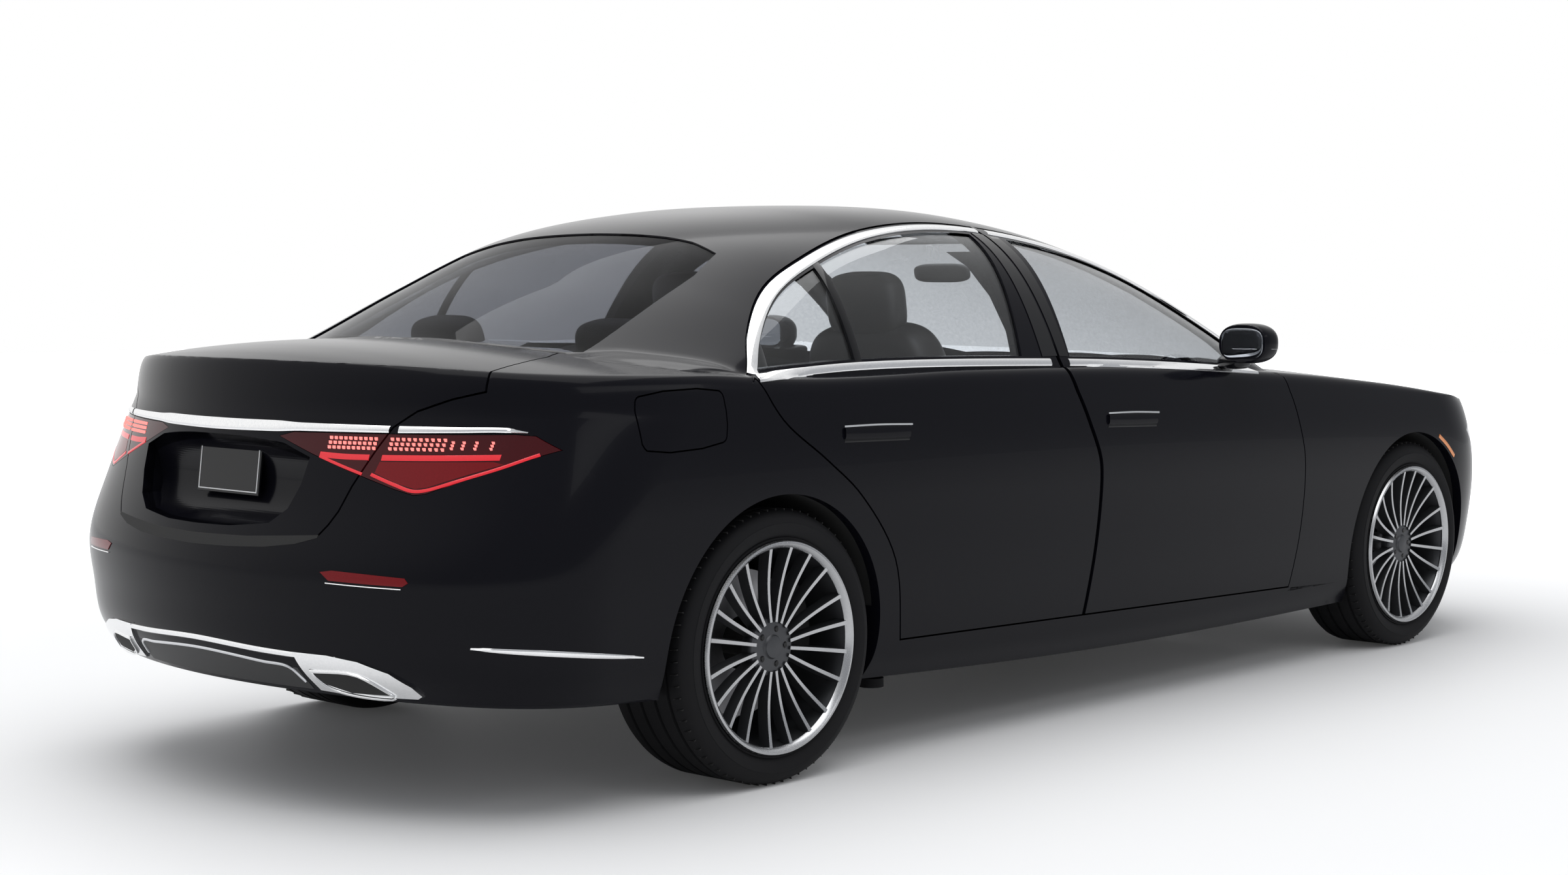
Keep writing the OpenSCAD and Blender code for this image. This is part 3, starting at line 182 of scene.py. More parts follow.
def loft(name, half):
    m, n = half.shape[:2]
    right, left = half * [1, -1, 1], half.copy()
    pts = np.concatenate([right.reshape(-1, 3), left[:, :-1].reshape(-1, 3)])
    R = np.arange(m * n).reshape(m, n)
    L = np.c_[m * n + np.arange(m * (n - 1)).reshape(m, n - 1), R[:, -1]]
    quads = []
    for G in (R, L):
        cells = np.stack([G[:-1, :-1], G[:-1, 1:], G[1:, 1:], G[1:, :-1]], -1)
        quads += cells.reshape(-1, 4).tolist()
    quads += np.stack([R[:-1, 0], R[1:, 0], L[1:, 0], L[:-1, 0]], -1).tolist()
    for j in (0, m - 1):
        quads += np.stack([R[j, :-2], R[j, 1:-1], L[j, 1:-1], L[j, :-2]], -1).tolist()
        quads.append([R[j, -2], R[j, -1], L[j, -2]])
    return make(name, place(pts), quads)


SHOULDER_BULGE, SHOULDER_DROP, SHOULDER_FADE, LEVEL_GAP = 12, 12, 300, 2


def lower_half(cols, t=0.0, wall=44, cap=22):
    c, w = cols[:, None], np.linspace(0, RIM_LEVEL, wall)[None, :]
    x, y = plan(w + 0 * c, c + 0 * w, t)
    ex, ey = plan(TOP_LEVEL + 0 * cols, cols, t)
    cx, cy = plan(RIM_LEVEL + 0 * cols, cols, t)
    ez = deck(ex, ey) - t
    share = [curve(np.c_[STATIONS, np.eye(3)[i]], x) for i in range(3)]
    z = sum(level(w, i) * share[i] for i in (Z_TAIL, Z_MIDDLE, Z_NOSE)) + np.where(w == 0, t, 0)
    cz = np.minimum(z[:, -1], ez - SHOULDER_DROP)
    z = np.minimum(z, cz[:, None] - LEVEL_GAP * (RIM_LEVEL - w))
    z[:, -1] = cz
    q = np.linspace(0, 1, 10)[None, 1:]

    def bend(a, b, d):
        return (1 - q) ** 2 * a[:, None] + 2 * q * (1 - q) * b[:, None] + q * q * d[:, None]

    bulge = SHOULDER_BULGE * np.minimum(1, ey / SHOULDER_FADE)
    sx, sy = bend(cx, (cx + ex) / 2, ex), bend(cy, (cy + ey) / 2 + bulge, ey)
    sz = bend(cz, ez, ez)
    r = np.linspace(0, 1, cap)[None, 1:]
    ky = ey[:, None] * (1 - r)
    kx = ex[:, None] + 0 * r
    return np.stack([np.c_[x, sx, kx], np.c_[y, sy, ky], np.c_[z, sz, deck(kx, ky) - t]], -1)


TUMBLEHOME = math.tan(math.radians(69))
ROOF_TUCK, ROOF_FOOT, SIDE_PULL, TOP_PULL = 14, 150, .9, .84
FLARE_OUT, FLARE_DOWN, FLARE_REACH = .36, .93, 1.15
FILLET_FROM, FILLET_OVER, FILLET_TAIL, FILLET_FADE, FILLET_LEAST = 560, 110, 300, 170, 2


def roof_half(S, t=0.0, rows=56):
    s = S[:, None]
    b, top = curve(BELT, s) - t, curve(ROOF, s) - t
    z = deck(s, b) - t - ROOF_TUCK
    k = b - (top - z) / TUMBLEHOME
    p1y, p1z, p2y = b + (k - b) * SIDE_PULL, z + (top - z) * SIDE_PULL, k * TOP_PULL
    u = np.linspace(0, 1, rows)[None, :]
    q = 1 - u
    y = q ** 3 * b + 3 * q * q * u * p1y + 3 * q * u * u * p2y
    h = q ** 3 * z + 3 * q * q * u * p1z + 3 * q * u * u * top + u ** 3 * top
    base = curve(FILLET, s)
    d = np.linspace(1, 0, 9)[None, :-1] * base * FLARE_REACH
    y, h = np.c_[b + FLARE_OUT * d, y], np.c_[z - FLARE_DOWN * d, h]
    x = s + curve(ROOF_BOW, s) * (1 - (y / b) ** 2)
    floor = deck(x, y) - t
    # the fillet between roof and deck fades out towards the middle and towards the tail
    R = FILLET_LEAST + base * (np.clip((y - FILLET_FROM) / FILLET_OVER, 0, 1)
                               * np.clip((s + FILLET_TAIL) / FILLET_FADE, 0, 1))
    a = h - floor
    h = floor + np.where(a > R, a, np.where(a < -R, a + R, (a + R) ** 2 / (4 * R)))
    return np.stack([np.c_[x[:, :1], x], np.c_[y[:, :1], y], np.c_[h[:, :1] - ROOF_FOOT, h]], -1)


SKIN_WALL = 30.0


def roof_span(n):
    return np.linspace(-300, 2450, n)


def stations(tail, side, nose, tip=.004):
    return np.r_[np.linspace(tip, 1, tail)[:-1], np.linspace(1, 2, side)[:-1],
                 np.linspace(2, 3 - tip, nose)]


FINE, COARSE = stations(70, 110, 56), stations(24, 24, 18)
lower = loft("lower_skin", lower_half(FINE))
cabin = loft("cabin_skin", roof_half(roof_span(170)))
lower_in = loft("lower_in", lower_half(COARSE, SKIN_WALL, 14, 6))
cabin_in = loft("cabin_in", roof_half(roof_span(44), SKIN_WALL, 18))
print("skin faces:", len(lower.data.polygons), len(cabin.data.polygons))

# %% [markdown]
# ## Cutting panels
# A panel is the skin inside a prism, minus the inner skin. Boolean modifiers do the cutting.
# Afterwards each corner of a face that lies on the outer skin takes the normal of the uncut skin,
# so no ripple shows.

# %% Cutting tools
scrap = []


def apply(ob):
    graph = bpy.context.evaluated_depsgraph_get()
    me = bpy.data.meshes.new_from_object(ob.evaluated_get(graph))
    ob.modifiers.clear()
    ob.data = me
    return ob


def cut(name, base, *steps):
    ob = link(name, base.data.copy())
    for how, tool in steps:
        mod = ob.modifiers.new("cut", "BOOLEAN")
        mod.operation, mod.solver, mod.object = how, "MANIFOLD", tool
        apply(ob)
    return ob


FAR = 4000
AXES = {"side": lambda a, b, d: (a, d, b), "top": lambda a, b, d: (a, b, d),
        "rear": lambda a, b, d: (d, a, b)}


def prism(poly, axis, lo=-FAR, hi=FAR):
    p, put = np.asarray(poly, float), AXES[axis]
    n = len(p)
    v = [put(a, b, lo) for a, b in p] + [put(a, b, hi) for a, b in p]
    f = [list(range(n)), list(range(2 * n - 1, n - 1, -1))]
    f += [[i, (i + 1) % n, n + (i + 1) % n, n + i] for i in range(n)]
    ob = make("tool", place(v), f, False)
    scrap.append(ob)
    return ob


def block(x0, x1, y0, y1, z0, z1):
    return prism([[x0, y0], [x1, y0], [x1, y1], [x0, y1]], "top", z0, z1)


def core(half):
    return block(-FAR, 5000, -half, half, -100, 2000)


def outer_span(s, start):
    return (-FAR, -start) if s < 0 else (start, FAR)


def circle(x, z, r, n):
    a = np.linspace(0, 2 * math.pi, n, endpoint=False)
    return np.c_[x + r * np.cos(a), z + r * np.sin(a)]


def fair(pts, n=8):
    p = np.asarray(pts, float)
    d = np.r_[0, np.cumsum(np.sqrt(np.linalg.norm(np.diff(p, axis=0), axis=1)))]
    t = np.unique(np.concatenate([np.linspace(a, b, n) for a, b in zip(d[:-1], d[1:])]))
    return np.stack([curve(np.c_[d, p[:, i]], t) for i in range(p.shape[1])], -1)


def inset(poly, d):
    p = np.asarray(poly, float)
    area = np.sum(p[:, 0] * np.roll(p[:, 1], -1) - np.roll(p[:, 0], -1) * p[:, 1])
    e = np.roll(p, -1, 0) - p
    length = np.maximum(np.linalg.norm(e, axis=1), 1e-9)[:, None]
    nrm = np.stack([-e[:, 1], e[:, 0]], -1) / length * np.sign(area)
    a, b = np.roll(nrm, 1, 0), nrm
    k = np.clip(1 + np.sum(a * b, 1), .4, 2)
    return p + d * (a + b) / k[:, None]


REACH, ON_SKIN, FACING = .004, .0006, .9
trees = []
for ob in (lower, cabin):
    me = ob.data
    trees.append((BVHTree.FromObject(ob, bpy.context.evaluated_depsgraph_get()),
                  [[me.vertices[i] for i in p.vertices] for p in me.polygons]))


def skin_normal(co):
    best = None
    for tree, corners in trees:
        hit, nrm, i, dist = tree.find_nearest(co, REACH)
        if hit is not None and (best is None or dist < best[0]):
            best = (dist, hit, nrm, corners[i])
    if best is None or best[0] > ON_SKIN:
        return None
    w = [1 / (1e-7 + (v.co - best[1]).length_squared) for v in best[3]]
    return sum((v.normal * k for v, k in zip(best[3], w)), Vector()).normalized(), best[2]


def polish(ob):
    me = ob.data
    known = [skin_normal(v.co) for v in me.vertices]
    out = []
    for p in me.polygons:
        for i in p.vertices:
            k = known[i]
            out.append(k[0] if k is not None and k[1].dot(p.normal) > FACING else p.normal)
    me.polygons.foreach_set("use_smooth", [True] * len(me.polygons))
    me.normals_split_custom_set(out)
    return ob


print("cutting tools ready")

# %% [markdown]
# ## Paint, glass, bright metal and rubber
# Every finish is a node material. Two effects are shared: a fine grain that breaks up roughness,
# and a soft dust that settles low on the car. They are node groups, so each material places them
# with its own values.

# %% Shared effects
def wire(links, *pairs):
    for out, into in pairs:
        links.new(out, into)


def group(name, ins, outs, build):
    g = bpy.data.node_groups.new(name, "ShaderNodeTree")
    for n, v in ins:
        g.interface.new_socket(n, in_out="INPUT", socket_type="NodeSocketFloat").default_value = v
    for n in outs:
        g.interface.new_socket(n, in_out="OUTPUT", socket_type="NodeSocketFloat")
    a, b = g.nodes.new("NodeGroupInput"), g.nodes.new("NodeGroupOutput")
    build(g.nodes, g.links, a.outputs, b.inputs)
    return g


def grain_nodes(nodes, links, i, o):
    pos, tex, ramp = (nodes.new("ShaderNode" + k) for k in ("TexCoord", "TexNoise", "MapRange"))
    tex.inputs["Detail"].default_value = 4
    wire(links, (pos.outputs["Object"], tex.inputs["Vector"]), (i["Scale"], tex.inputs["Scale"]),
         (tex.outputs["Fac"], ramp.inputs["Value"]), (i["Low"], ramp.inputs["To Min"]),
         (i["High"], ramp.inputs["To Max"]), (ramp.outputs["Result"], o["Roughness"]),
         (tex.outputs["Fac"], o["Height"]))


def dust_nodes(nodes, links, i, o):
    kinds = ("TexCoord", "TexNoise", "SeparateXYZ", "MapRange", "Math")
    pos, tex, sep, fade, mul = (nodes.new("ShaderNode" + k) for k in kinds)
    tex.inputs["Scale"].default_value = 9
    fade.inputs["From Max"].default_value = .05
    mul.operation = "MULTIPLY"
    wire(links, (pos.outputs["Object"], tex.inputs["Vector"]),
         (pos.outputs["Object"], sep.inputs["Vector"]), (sep.outputs["Z"], fade.inputs["Value"]),
         (i["Top"], fade.inputs["From Min"]), (i["Amount"], fade.inputs["To Max"]),
         (fade.outputs["Result"], mul.inputs[0]), (tex.outputs["Fac"], mul.inputs[1]),
         (mul.outputs["Value"], o["Mask"]))


GRAIN = group("fine_grain", [("Scale", 400), ("Low", .2), ("High", .3)],
              ["Roughness", "Height"], grain_nodes)
DUST = group("low_dust", [("Top", .5), ("Amount", .1)], ["Mask"], dust_nodes)
print("shared effects:", GRAIN.name, DUST.name)

# %% [markdown]
# ## The finishes
# Each finish starts from a plain colour with a range of roughness. Metal, coat, bump and dust are
# added only where the real surface has them: black paint has a thin clear coat, rubber is dull
# and a little dusty.

# %% The finishes
COAT_ROUGHNESS, BUMP_DEPTH, DUST_COLOUR, LIGHTER = .02, .001, (.30, .28, .26, 1), 1.25


def finish_of(name, colour, low, high, scale=400, metal=0.0, bump=0.0, coat=0.0, dust=0.0, **more):
    mat = bpy.data.materials.new(name)
    mat.use_nodes = True
    nodes, links = mat.node_tree.nodes, mat.node_tree.links
    pb = nodes["Principled BSDF"]
    pb.inputs["Metallic"].default_value = metal
    pb.inputs["Coat Weight"].default_value = coat
    pb.inputs["Coat Roughness"].default_value = COAT_ROUGHNESS
    for key, v in more.items():
        pb.inputs[key.replace("_", " ")].default_value = v
    gr = nodes.new("ShaderNodeGroup")
    gr.node_tree = GRAIN
    for key, v in (("Scale", scale), ("Low", low), ("High", high)):
        gr.inputs[key].default_value = v
    links.new(gr.outputs["Roughness"], pb.inputs["Roughness"])
    if bump:
        bp = nodes.new("ShaderNodeBump")
        bp.inputs["Strength"].default_value = bump
        bp.inputs["Distance"].default_value = BUMP_DEPTH
        links.new(gr.outputs["Height"], bp.inputs["Height"])
        links.new(bp.outputs["Normal"], pb.inputs["Normal"])
    shade = nodes.new("ShaderNodeMix")
    shade.data_type = "RGBA"
    shade.inputs["A"].default_value = (*colour, 1)
    shade.inputs["B"].default_value = (*[min(1, c * LIGHTER + .001) for c in colour], 1)
    links.new(gr.outputs["Height"], shade.inputs["Factor"])
    last = shade
    if dust:
        dn, mix = nodes.new("ShaderNodeGroup"), nodes.new("ShaderNodeMix")
        dn.node_tree = DUST
        dn.inputs["Amount"].default_value = dust
        mix.data_type = "RGBA"
        mix.inputs["B"].default_value = DUST_COLOUR
        links.new(dn.outputs["Mask"], mix.inputs["Factor"])
        links.new(shade.outputs["Result"], mix.inputs["A"])
        last = mix
    links.new(last.outputs["Result"], pb.inputs["Base Color"])
    return mat


PAINT = finish_of("black_paint", (.0036, .0036, .0058), .14, .20, 900, coat=.07,
                  Specular_IOR_Level=.08)
GLOSS = finish_of("gloss_black", (.005, .005, .006), .08, .12, 300, coat=.15, Specular_IOR_Level=.2)
CHROME = finish_of("bright_metal", (.80, .81, .82), .06, .12, 200, metal=1.0)
SATIN = finish_of("satin_metal", (.62, .63, .65), .22, .30, 300, metal=1.0)
WHEEL = finish_of("machined_alloy", (.43, .435, .445), .20, .32, 500, metal=1.0)
WHEEL_DARK = finish_of("wheel_grey", (.065, .067, .072), .35, .45, 300, metal=.8)
RUBBER = finish_of("tyre_rubber", (.0045, .0045, .0055), .62, .78, 500, bump=.15, dust=.015,
                   Specular_IOR_Level=.2)
TRIM = finish_of("moulded_black", (.016, .016, .017), .45, .58, 700, bump=.12)
UNDER = finish_of("underseal", (.012, .012, .012), .75, .9, 300, bump=.2, dust=.03)
LEATHER = finish_of("dark_leather", (.035, .032, .031), .38, .52, 650, bump=.25)
STEEL = finish_of("bare_steel", (.42, .42, .43), .25, .40, 250, metal=1.0)
RED = finish_of("red_lens", (.17, .004, .007), .08, .12, 200, coat=.2, Specular_IOR_Level=.15)
SMOKE = finish_of("smoked_red_lens", (.050, .003, .005), .08, .12, 200, coat=.2,
                  Specular_IOR_Level=.15)
AMBER = finish_of("amber_lens", (.75, .22, .02), .05, .1, 200, coat=1.0)
LENS = finish_of("clear_lens", (.55, .57, .6), .04, .08, 200, coat=1.0)
LIT = finish_of("lit_guide", (.5, .02, .03), .1, .15, 200, Emission_Color=(1, .02, .03, 1),
                Emission_Strength=.30)
SPARK = finish_of("lit_block", (.9, .25, .22), .08, .12, 200, Emission_Color=(1, .22, .2, 1),
                  Emission_Strength=.8)
LINE = finish_of("pale_edge", (.75, .75, .75), .4, .5, 200)
GLASS = finish_of("tinted_glass", (.64, .66, .68), .0, .0, 100, Transmission_Weight=1.0, IOR=1.3)
MIRROR = finish_of("mirror_glass", (.20, .21, .23), .02, .04, 100, metal=1.0)
# The rear window's glass gets a dark colour that is painted shade: it stands in for the shaded
# cabin seen through it.
GLASS_PAINTED_SHADE = finish_of("dark_glass", (.16, .165, .185), .0, .0, 100, Transmission_Weight=1.0,
                       IOR=1.06)
print("materials:", len(bpy.data.materials))

# %% [markdown]
# ## Outlines of the panels
# Shut lines are drawn where the picture shows them: window arch, door edges, boot lid, lamps and
# bumpers.

# %% Panel outlines
arch = fair([[-62, 1040], [15, 1130], [180, 1252], [388, 1337], [650, 1402], [942, 1431],
             [1192, 1424], [1510, 1382], [1820, 1298], [2120, 1150], [2300, 1042]])
sill = fair([[2330, 985], [1750, 1022], [1180, 1046], [356, 1058], [-62, 1040]])
door_front = fair([[2398, 965], [2452, 840], [2490, 720], [2497, 647], [2486, 450], [2454, 274]])
split = fair([[1205, 1452], [1200, 1240], [1234, 1022], [1300, 880], [1352, 770], [1360, 717],
              [1346, 520], [1313, 300]])
door_rear = fair([[-70, 1036], [5, 930], [163, 820], [293, 721], [434, 543], [482, 318]])
FRAME, PANE_EDGE, SPLIT_GAP, FRAME_SPLIT = 14, 16, 3, (1203, 1206)
window = np.r_[arch, sill[1:-1]]
rim_line = inset(window, -FRAME)[:len(arch)]
rear_door = np.r_[door_rear[::-1], rim_line[rim_line[:, 0] < FRAME_SPLIT[0]],
                  split - [SPLIT_GAP, 0]]
front_door = np.r_[(split + [SPLIT_GAP, 0])[::-1], rim_line[rim_line[:, 0] > FRAME_SPLIT[1]],
                   door_front]
opening = np.r_[door_rear[::-1], rim_line, door_front]
PILLAR = (1172, 1240)
rear_pane = inset(np.r_[arch[arch[:, 0] < PILLAR[0]], sill[sill[:, 0] < PILLAR[0]][:-1]], PANE_EDGE)
front_pane = inset(np.r_[arch[arch[:, 0] > PILLAR[1]], sill[sill[:, 0] > PILLAR[1]]], PANE_EDGE)
screen = np.array([[1690, 0], [1665, 330], [1600, 530], [2010, 640], [2300, 700], [2440, 690],
                   [2600, 545], [2712, 300], [2755, 0]])
rear_screen = np.array([[237, 0], [232, 300], [225, 410], [200, 522], [80, 558], [-80, 570],
                        [-290, 586], [-345, 588], [-368, 550], [-400, 450], [-432, 300], [-456, 0]])
roof_line = np.array([[1690, 0], [1665, 330], [1600, 530], [900, 545], [330, 540], [200, 522],
                      [225, 410], [232, 300], [237, 0]])
lid_front = np.array([[-475, 0], [-452, 300], [-420, 450], [-385, 545], [-490, 622], [-623, 676],
                      [-770, 728], [-888, 752], [-985, 765], [-985, 1000], [-1300, 1000]])
lid_side = np.array([[0, 648], [200, 651], [359, 662], [421, 679], [445, 709], [463, 741],
                     [483, 801], [521, 885], [548, 938], [592, 975], [665, 1004], [750, 1028],
                     [790, 1040], [790, 1300], [0, 1300]])
lamp = np.array([[236, 911], [280, 923], [547, 925], [693, 926], [800, 927], [832, 923], [878, 889],
                 [781, 840], [664, 788], [637, 785], [589, 797], [493, 826], [347, 872]])
rear_bumper = [[-1300, 100], [-300, 100], [-300, 735], [-470, 738], [-600, 800], [-684, 888],
               [-800, 850], [-1300, 850]]
front_bumper = [[4300, 100], [3560, 100], [3600, 420], [3640, 560], [3760, 610], [3900, 640],
                [4300, 640]]
headlamp = [[3640, 735], [3780, 790], [4060, 770], [4160, 690], [4160, 630], [3900, 640],
            [3760, 660]]
fuel = fair([[-483, 895], [-470, 878], [-215, 886], [-200, 900], [-200, 1000], [-215, 1016],
             [-470, 1010], [-483, 995], [-483, 895]], 4)[:-1]
bonnet_rear = [[2800, 0], [2757, 300], [2652, 550], [2548, 720], [2500, 800]]
bonnet_line = np.array(bonnet_rear + [[2900, 815], [3500, 780], [3850, 640], [3960, 420],
                                      [4010, 0]])
foot = [[2454, 274], [1313, 300], [482, 318]]


def doubled(half, sign, col):
    # a point on the middle line isn't repeated
    h = np.asarray(half, float)
    first, last = int(h[0, col] == 0), int(h[-1, col] == 0)
    return np.r_[h, (h * sign)[::-1][last:len(h) - first]]


def mirrored(half):
    return doubled(half, [1, -1], 1)


def across(half):
    return doubled(half, [-1, 1], 0)


print("outline points:", len(opening), len(rear_pane), len(front_pane))

# %% [markdown]
# ## The cutters
# Each outline becomes a prism that runs right through the car, and the boot lid's cutter is what
# two prisms share. The whole outer form and the whole inner form are each joined once, for the
# panels that reach from the sides to the roof.

# %% Cutters
GAP = 5
SIDES = ((-1, "r"), (1, "l"))
AXLES = (("rear", 0, 354), ("front", 3216, 356))
ARCH_RADIUS, ARCH_DEPTH, ROOF_FLOOR = 392, (480, 1500), 900
LAMP_SPAN, LID_SPAN = (-1200, -640), (-1300, -340)
arches = [prism(circle(x, z, ARCH_RADIUS, 160), "side", *sorted(s * d for d in ARCH_DEPTH))
          for _, x, z in AXLES for s, _ in SIDES]
rear_arches, front_arches = arches[:2], arches[2:]
cutters = {"opening": prism(opening, "side"), "lid_top": prism(mirrored(lid_front), "top"),
           "lid_rear": prism(across(lid_side), "rear", *LID_SPAN),
           "lamp_l": prism(lamp, "rear", *LAMP_SPAN),
           "lamp_r": prism(lamp * [-1, 1], "rear", *LAMP_SPAN),
           "screen": prism(mirrored(screen), "top", ROOF_FLOOR),
           "rear_screen": prism(mirrored(rear_screen), "top", ROOF_FLOOR),
           "roof": prism(mirrored(roof_line), "top", ROOF_FLOOR),
           "rear_bumper": prism(rear_bumper, "side"), "front_bumper": prism(front_bumper, "side"),
           "head": prism(headlamp, "side"), "fuel": prism(fuel, "side", -FAR, 0),
           "bonnet": prism(mirrored(bonnet_line), "top")}
cutters["lid"] = cut("lid_tool", cutters["lid_top"], ("INTERSECT", cutters["lid_rear"]))
lid_in = cut("lid_in", prism(inset(mirrored(lid_front), GAP), "top"),
             ("INTERSECT", prism(inset(across(lid_side), GAP), "rear", *LID_SPAN)))
head_pair = cut("head_pair", cutters["head"], ("DIFFERENCE", core(500)))
scrap += [cutters["lid"], lid_in, head_pair]
body = cut("whole", lower, ("UNION", cabin))
hollow = cut("hollow", lower_in, ("UNION", cabin_in))
scrap += [body, hollow]
print("cutters:", len(cutters) + len(arches))

# %% [markdown]
# ## The painted panels
# The panels repeat the solids' own cuts on the dense skin: what a prism keeps becomes a door, a
# lid or a wing. Each one replaces its solid and rides on the same body, so doors and lids still
# open.

# %% Fixed panels
def less(*tools):
    return [("DIFFERENCE", cutters[t] if isinstance(t, str) else t) for t in tools]


def keep(poly, axis="side", lo=-FAR, hi=FAR):
    return ("INTERSECT", prism(poly, axis, lo, hi))


def dress(ob, mat, body_name, *nodes):
    ob.data.materials.clear()
    ob.data.materials.append(mat)
    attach(ob, body_name)
    if nodes:
        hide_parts(*nodes)
    return ob


def panel(name, node, body_name, mat, base, *steps):
    ob = dress(polish(cut(name, base, *steps)), mat, body_name, node)
    print(name, len(ob.data.polygons))
    return ob


pockets = [block(-520, 300, *sorted((s * 520, s * 1000)), 900, 1075) for s, _ in SIDES]
shell_room = cut("shell_room", hollow, *less(*pockets))
scrap.append(shell_room)
quarter_poly = np.r_[[[-1300, 700], [-300, 730], [-300, 100], [482, 100]], door_rear[::-1],
                     [[330, 1060], [330, 1600], [-1300, 1600]]]
sill_end = [[340, 100], [2760, 100], [2760, 262], [482, 318], [440, 420], [340, 420]]
panel("quarter_skin", "quarter_panels", "body", PAINT, body, keep(quarter_poly),
      *less(shell_room, prism(sill_end, "side"), "rear_bumper", "opening", "rear_screen", "roof",
            "lid"), *less("lamp_l", "lamp_r", "fuel", *rear_arches))
cowl = mirrored(np.r_[[[2000, 0], [2000, 800]], bonnet_rear[::-1]])
rails_poly = [[330, 1030], [2330, 975], [2460, 985], [2790, 985], [2790, 1600], [330, 1600]]
ahead = mirrored(np.r_[[[q[0] - 22, q[1]] for q in bonnet_rear],
                       [[2400, 800], [2400, 1000], [4300, 1000], [4300, 0]]])
panel("roof_rail_skin", "roof_rails", "body", PAINT, body, keep(rails_poly),
      *less(hollow, "screen", "rear_screen", "roof", "opening", "bonnet", prism(ahead, "top")))
fender_poly = np.r_[door_front, [[2454, 262], [2760, 262], [2760, 100], [4300, 100], [4300, 1050],
                                 [2340, 1050], [2340, 980]]]
panel("fender_skin", "front_fenders", "body", PAINT, lower, keep(fender_poly),
      *less(lower_in, cabin, "bonnet", "front_bumper", prism(cowl, "top"), head_pair, core(480)),
      *less(*front_arches))
sill_poly = np.r_[[[340, 100], [2760, 100], [2760, 262]], foot, [[440, 420], [340, 420]]]
panel("sill_skin", "sills", "body", PAINT, lower, keep(sill_poly), *less(core(700), *arches))
panel("roof_skin", "roof_panel", "body", PAINT, cabin, ("INTERSECT", cutters["roof"]),
      *less(cabin_in))

# %% [markdown]
# ## Bumpers and bonnet
# A bumper is one more cut of the lower skin, with the grille's mouth taken out in front and room
# for the exhaust left behind. The bonnet is cut a few millimetres smaller than its opening, which
# leaves the shut line.

# %% Bumpers and bonnet
EXHAUST_ROOM = (-850, -250, -620, 620, -100, 420)


def nose_block(half, low, top, back=3850):
    return block(back, 5000, -half, half, low, top)


panel("rear_bumper_skin", "rear_bumper", "body", PAINT, lower,
      ("INTERSECT", cutters["rear_bumper"]),
      *less(lower_in, "lid", "lamp_l", "lamp_r", *rear_arches, block(*EXHAUST_ROOM)))
panel("front_bumper_skin", "front_bumper", "body", PAINT, lower,
      ("INTERSECT", cutters["front_bumper"]),
      *less(lower_in, head_pair, nose_block(430, 330, 700), *front_arches))
panel("bonnet_skin", "bonnet", "bonnet", PAINT, lower,
      keep(inset(mirrored(bonnet_line), GAP), "top", 646),
      *less(lower_in, cabin, head_pair, nose_block(436, 300, 706)))
nose = cut("nose_skin", lower, ("INTERSECT", nose_block(490, 640, 1000, 3800)),
           *less(lower_in, "bonnet", "front_bumper", head_pair, nose_block(430, 330, 704)))
dress(polish(nose), PAINT, "body")
plug = cut("grille_back", lower_in, ("INTERSECT", nose_block(426, 334, 696, 3980)))
dress(plug, GLOSS, "body")

# %% [markdown]
# ## Boot lid, fuel flap and doors
# The hollow round the number plate is scooped out of the boot lid by a lying cylinder, and a thin
# liner behind the skin closes it. A door is a thick leaf of the lower body joined to a thin
# window frame cut from the cabin.

# %% Boot lid, fuel flap and doors
SCOOP, LINER, LINER_SINK, DISH_SPAN = (-1088, 806, 116), 6, 2.0, (-1300, -900)
dish = across([[0, 908], [225, 906], [345, 864], [336, 800], [312, 742], [264, 706], [130, 692],
               [0, 690]])


def scoop_tool(extra):
    return prism(circle(*SCOOP[:2], SCOOP[2] + extra, 120), "side", -600, 600)


scoop = cut("scoop", scoop_tool(0), keep(dish, "rear", *DISH_SPAN))
under_skin = loft("under_skin", lower_half(COARSE, LINER_SINK, 44, 6))
scrap += [scoop, under_skin]
panel("lid_skin", "trunk_lid", "trunk_lid", PAINT, lower, ("INTERSECT", lid_in),
      *less(lower_in, scoop, "lamp_l", "lamp_r"))
panel("plate_recess", "trunk_lid", "trunk_lid", PAINT, under_skin, ("INTERSECT", scoop_tool(LINER)),
      keep(inset(dish, -LINER), "rear", *DISH_SPAN), *less(scoop))
FUEL_GAP, DOOR_INNER, FRAME_INNER = 4, 860, 300
panel("fuel_flap_skin", "fuel_door", "fuel_door", PAINT, lower,
      keep(inset(fuel, FUEL_GAP), "side", -FAR, 0), *less(lower_in))
for s, side in SIDES:
    for part, poly, pane in (("front", front_door, front_pane), ("rear", rear_door, rear_pane)):
        door, shape = f"{part}_door_{side}", inset(poly, GAP)
        leaf = cut("leaf", body, keep(shape, "side", *outer_span(s, DOOR_INNER)))
        frame_part = cut("frame", cabin, keep(shape, "side", *outer_span(s, FRAME_INNER)),
                         *less(cabin_in))
        scrap += [leaf, frame_part]
        panel(f"{part}_door_skin_{side}", door, door, PAINT, leaf, ("UNION", frame_part),
              *less(prism(pane, "side", *outer_span(s, 0)), *arches))

# %% [markdown]
# ## Glass
# Each pane is cut from two roof skins a few millimetres apart and set just below the paint.

# %% Panes
PANE_SINK, PANE_THICK, PANE_LAP, SCREEN_LAP = 4.0, 4.0, 4, 3
pane_out = loft("pane_out", roof_half(roof_span(120), PANE_SINK, 40))
pane_in = loft("pane_in", roof_half(roof_span(120), PANE_SINK + PANE_THICK, 40))
scrap += [pane_out, pane_in]


def pane(name, node, body_name, area, axis, lo, hi, mat=GLASS):
    shape = cut(name, pane_out, keep(area, axis, lo, hi), *less(lower, pane_in))
    return dress(soften(shape, .6), mat, body_name, node)
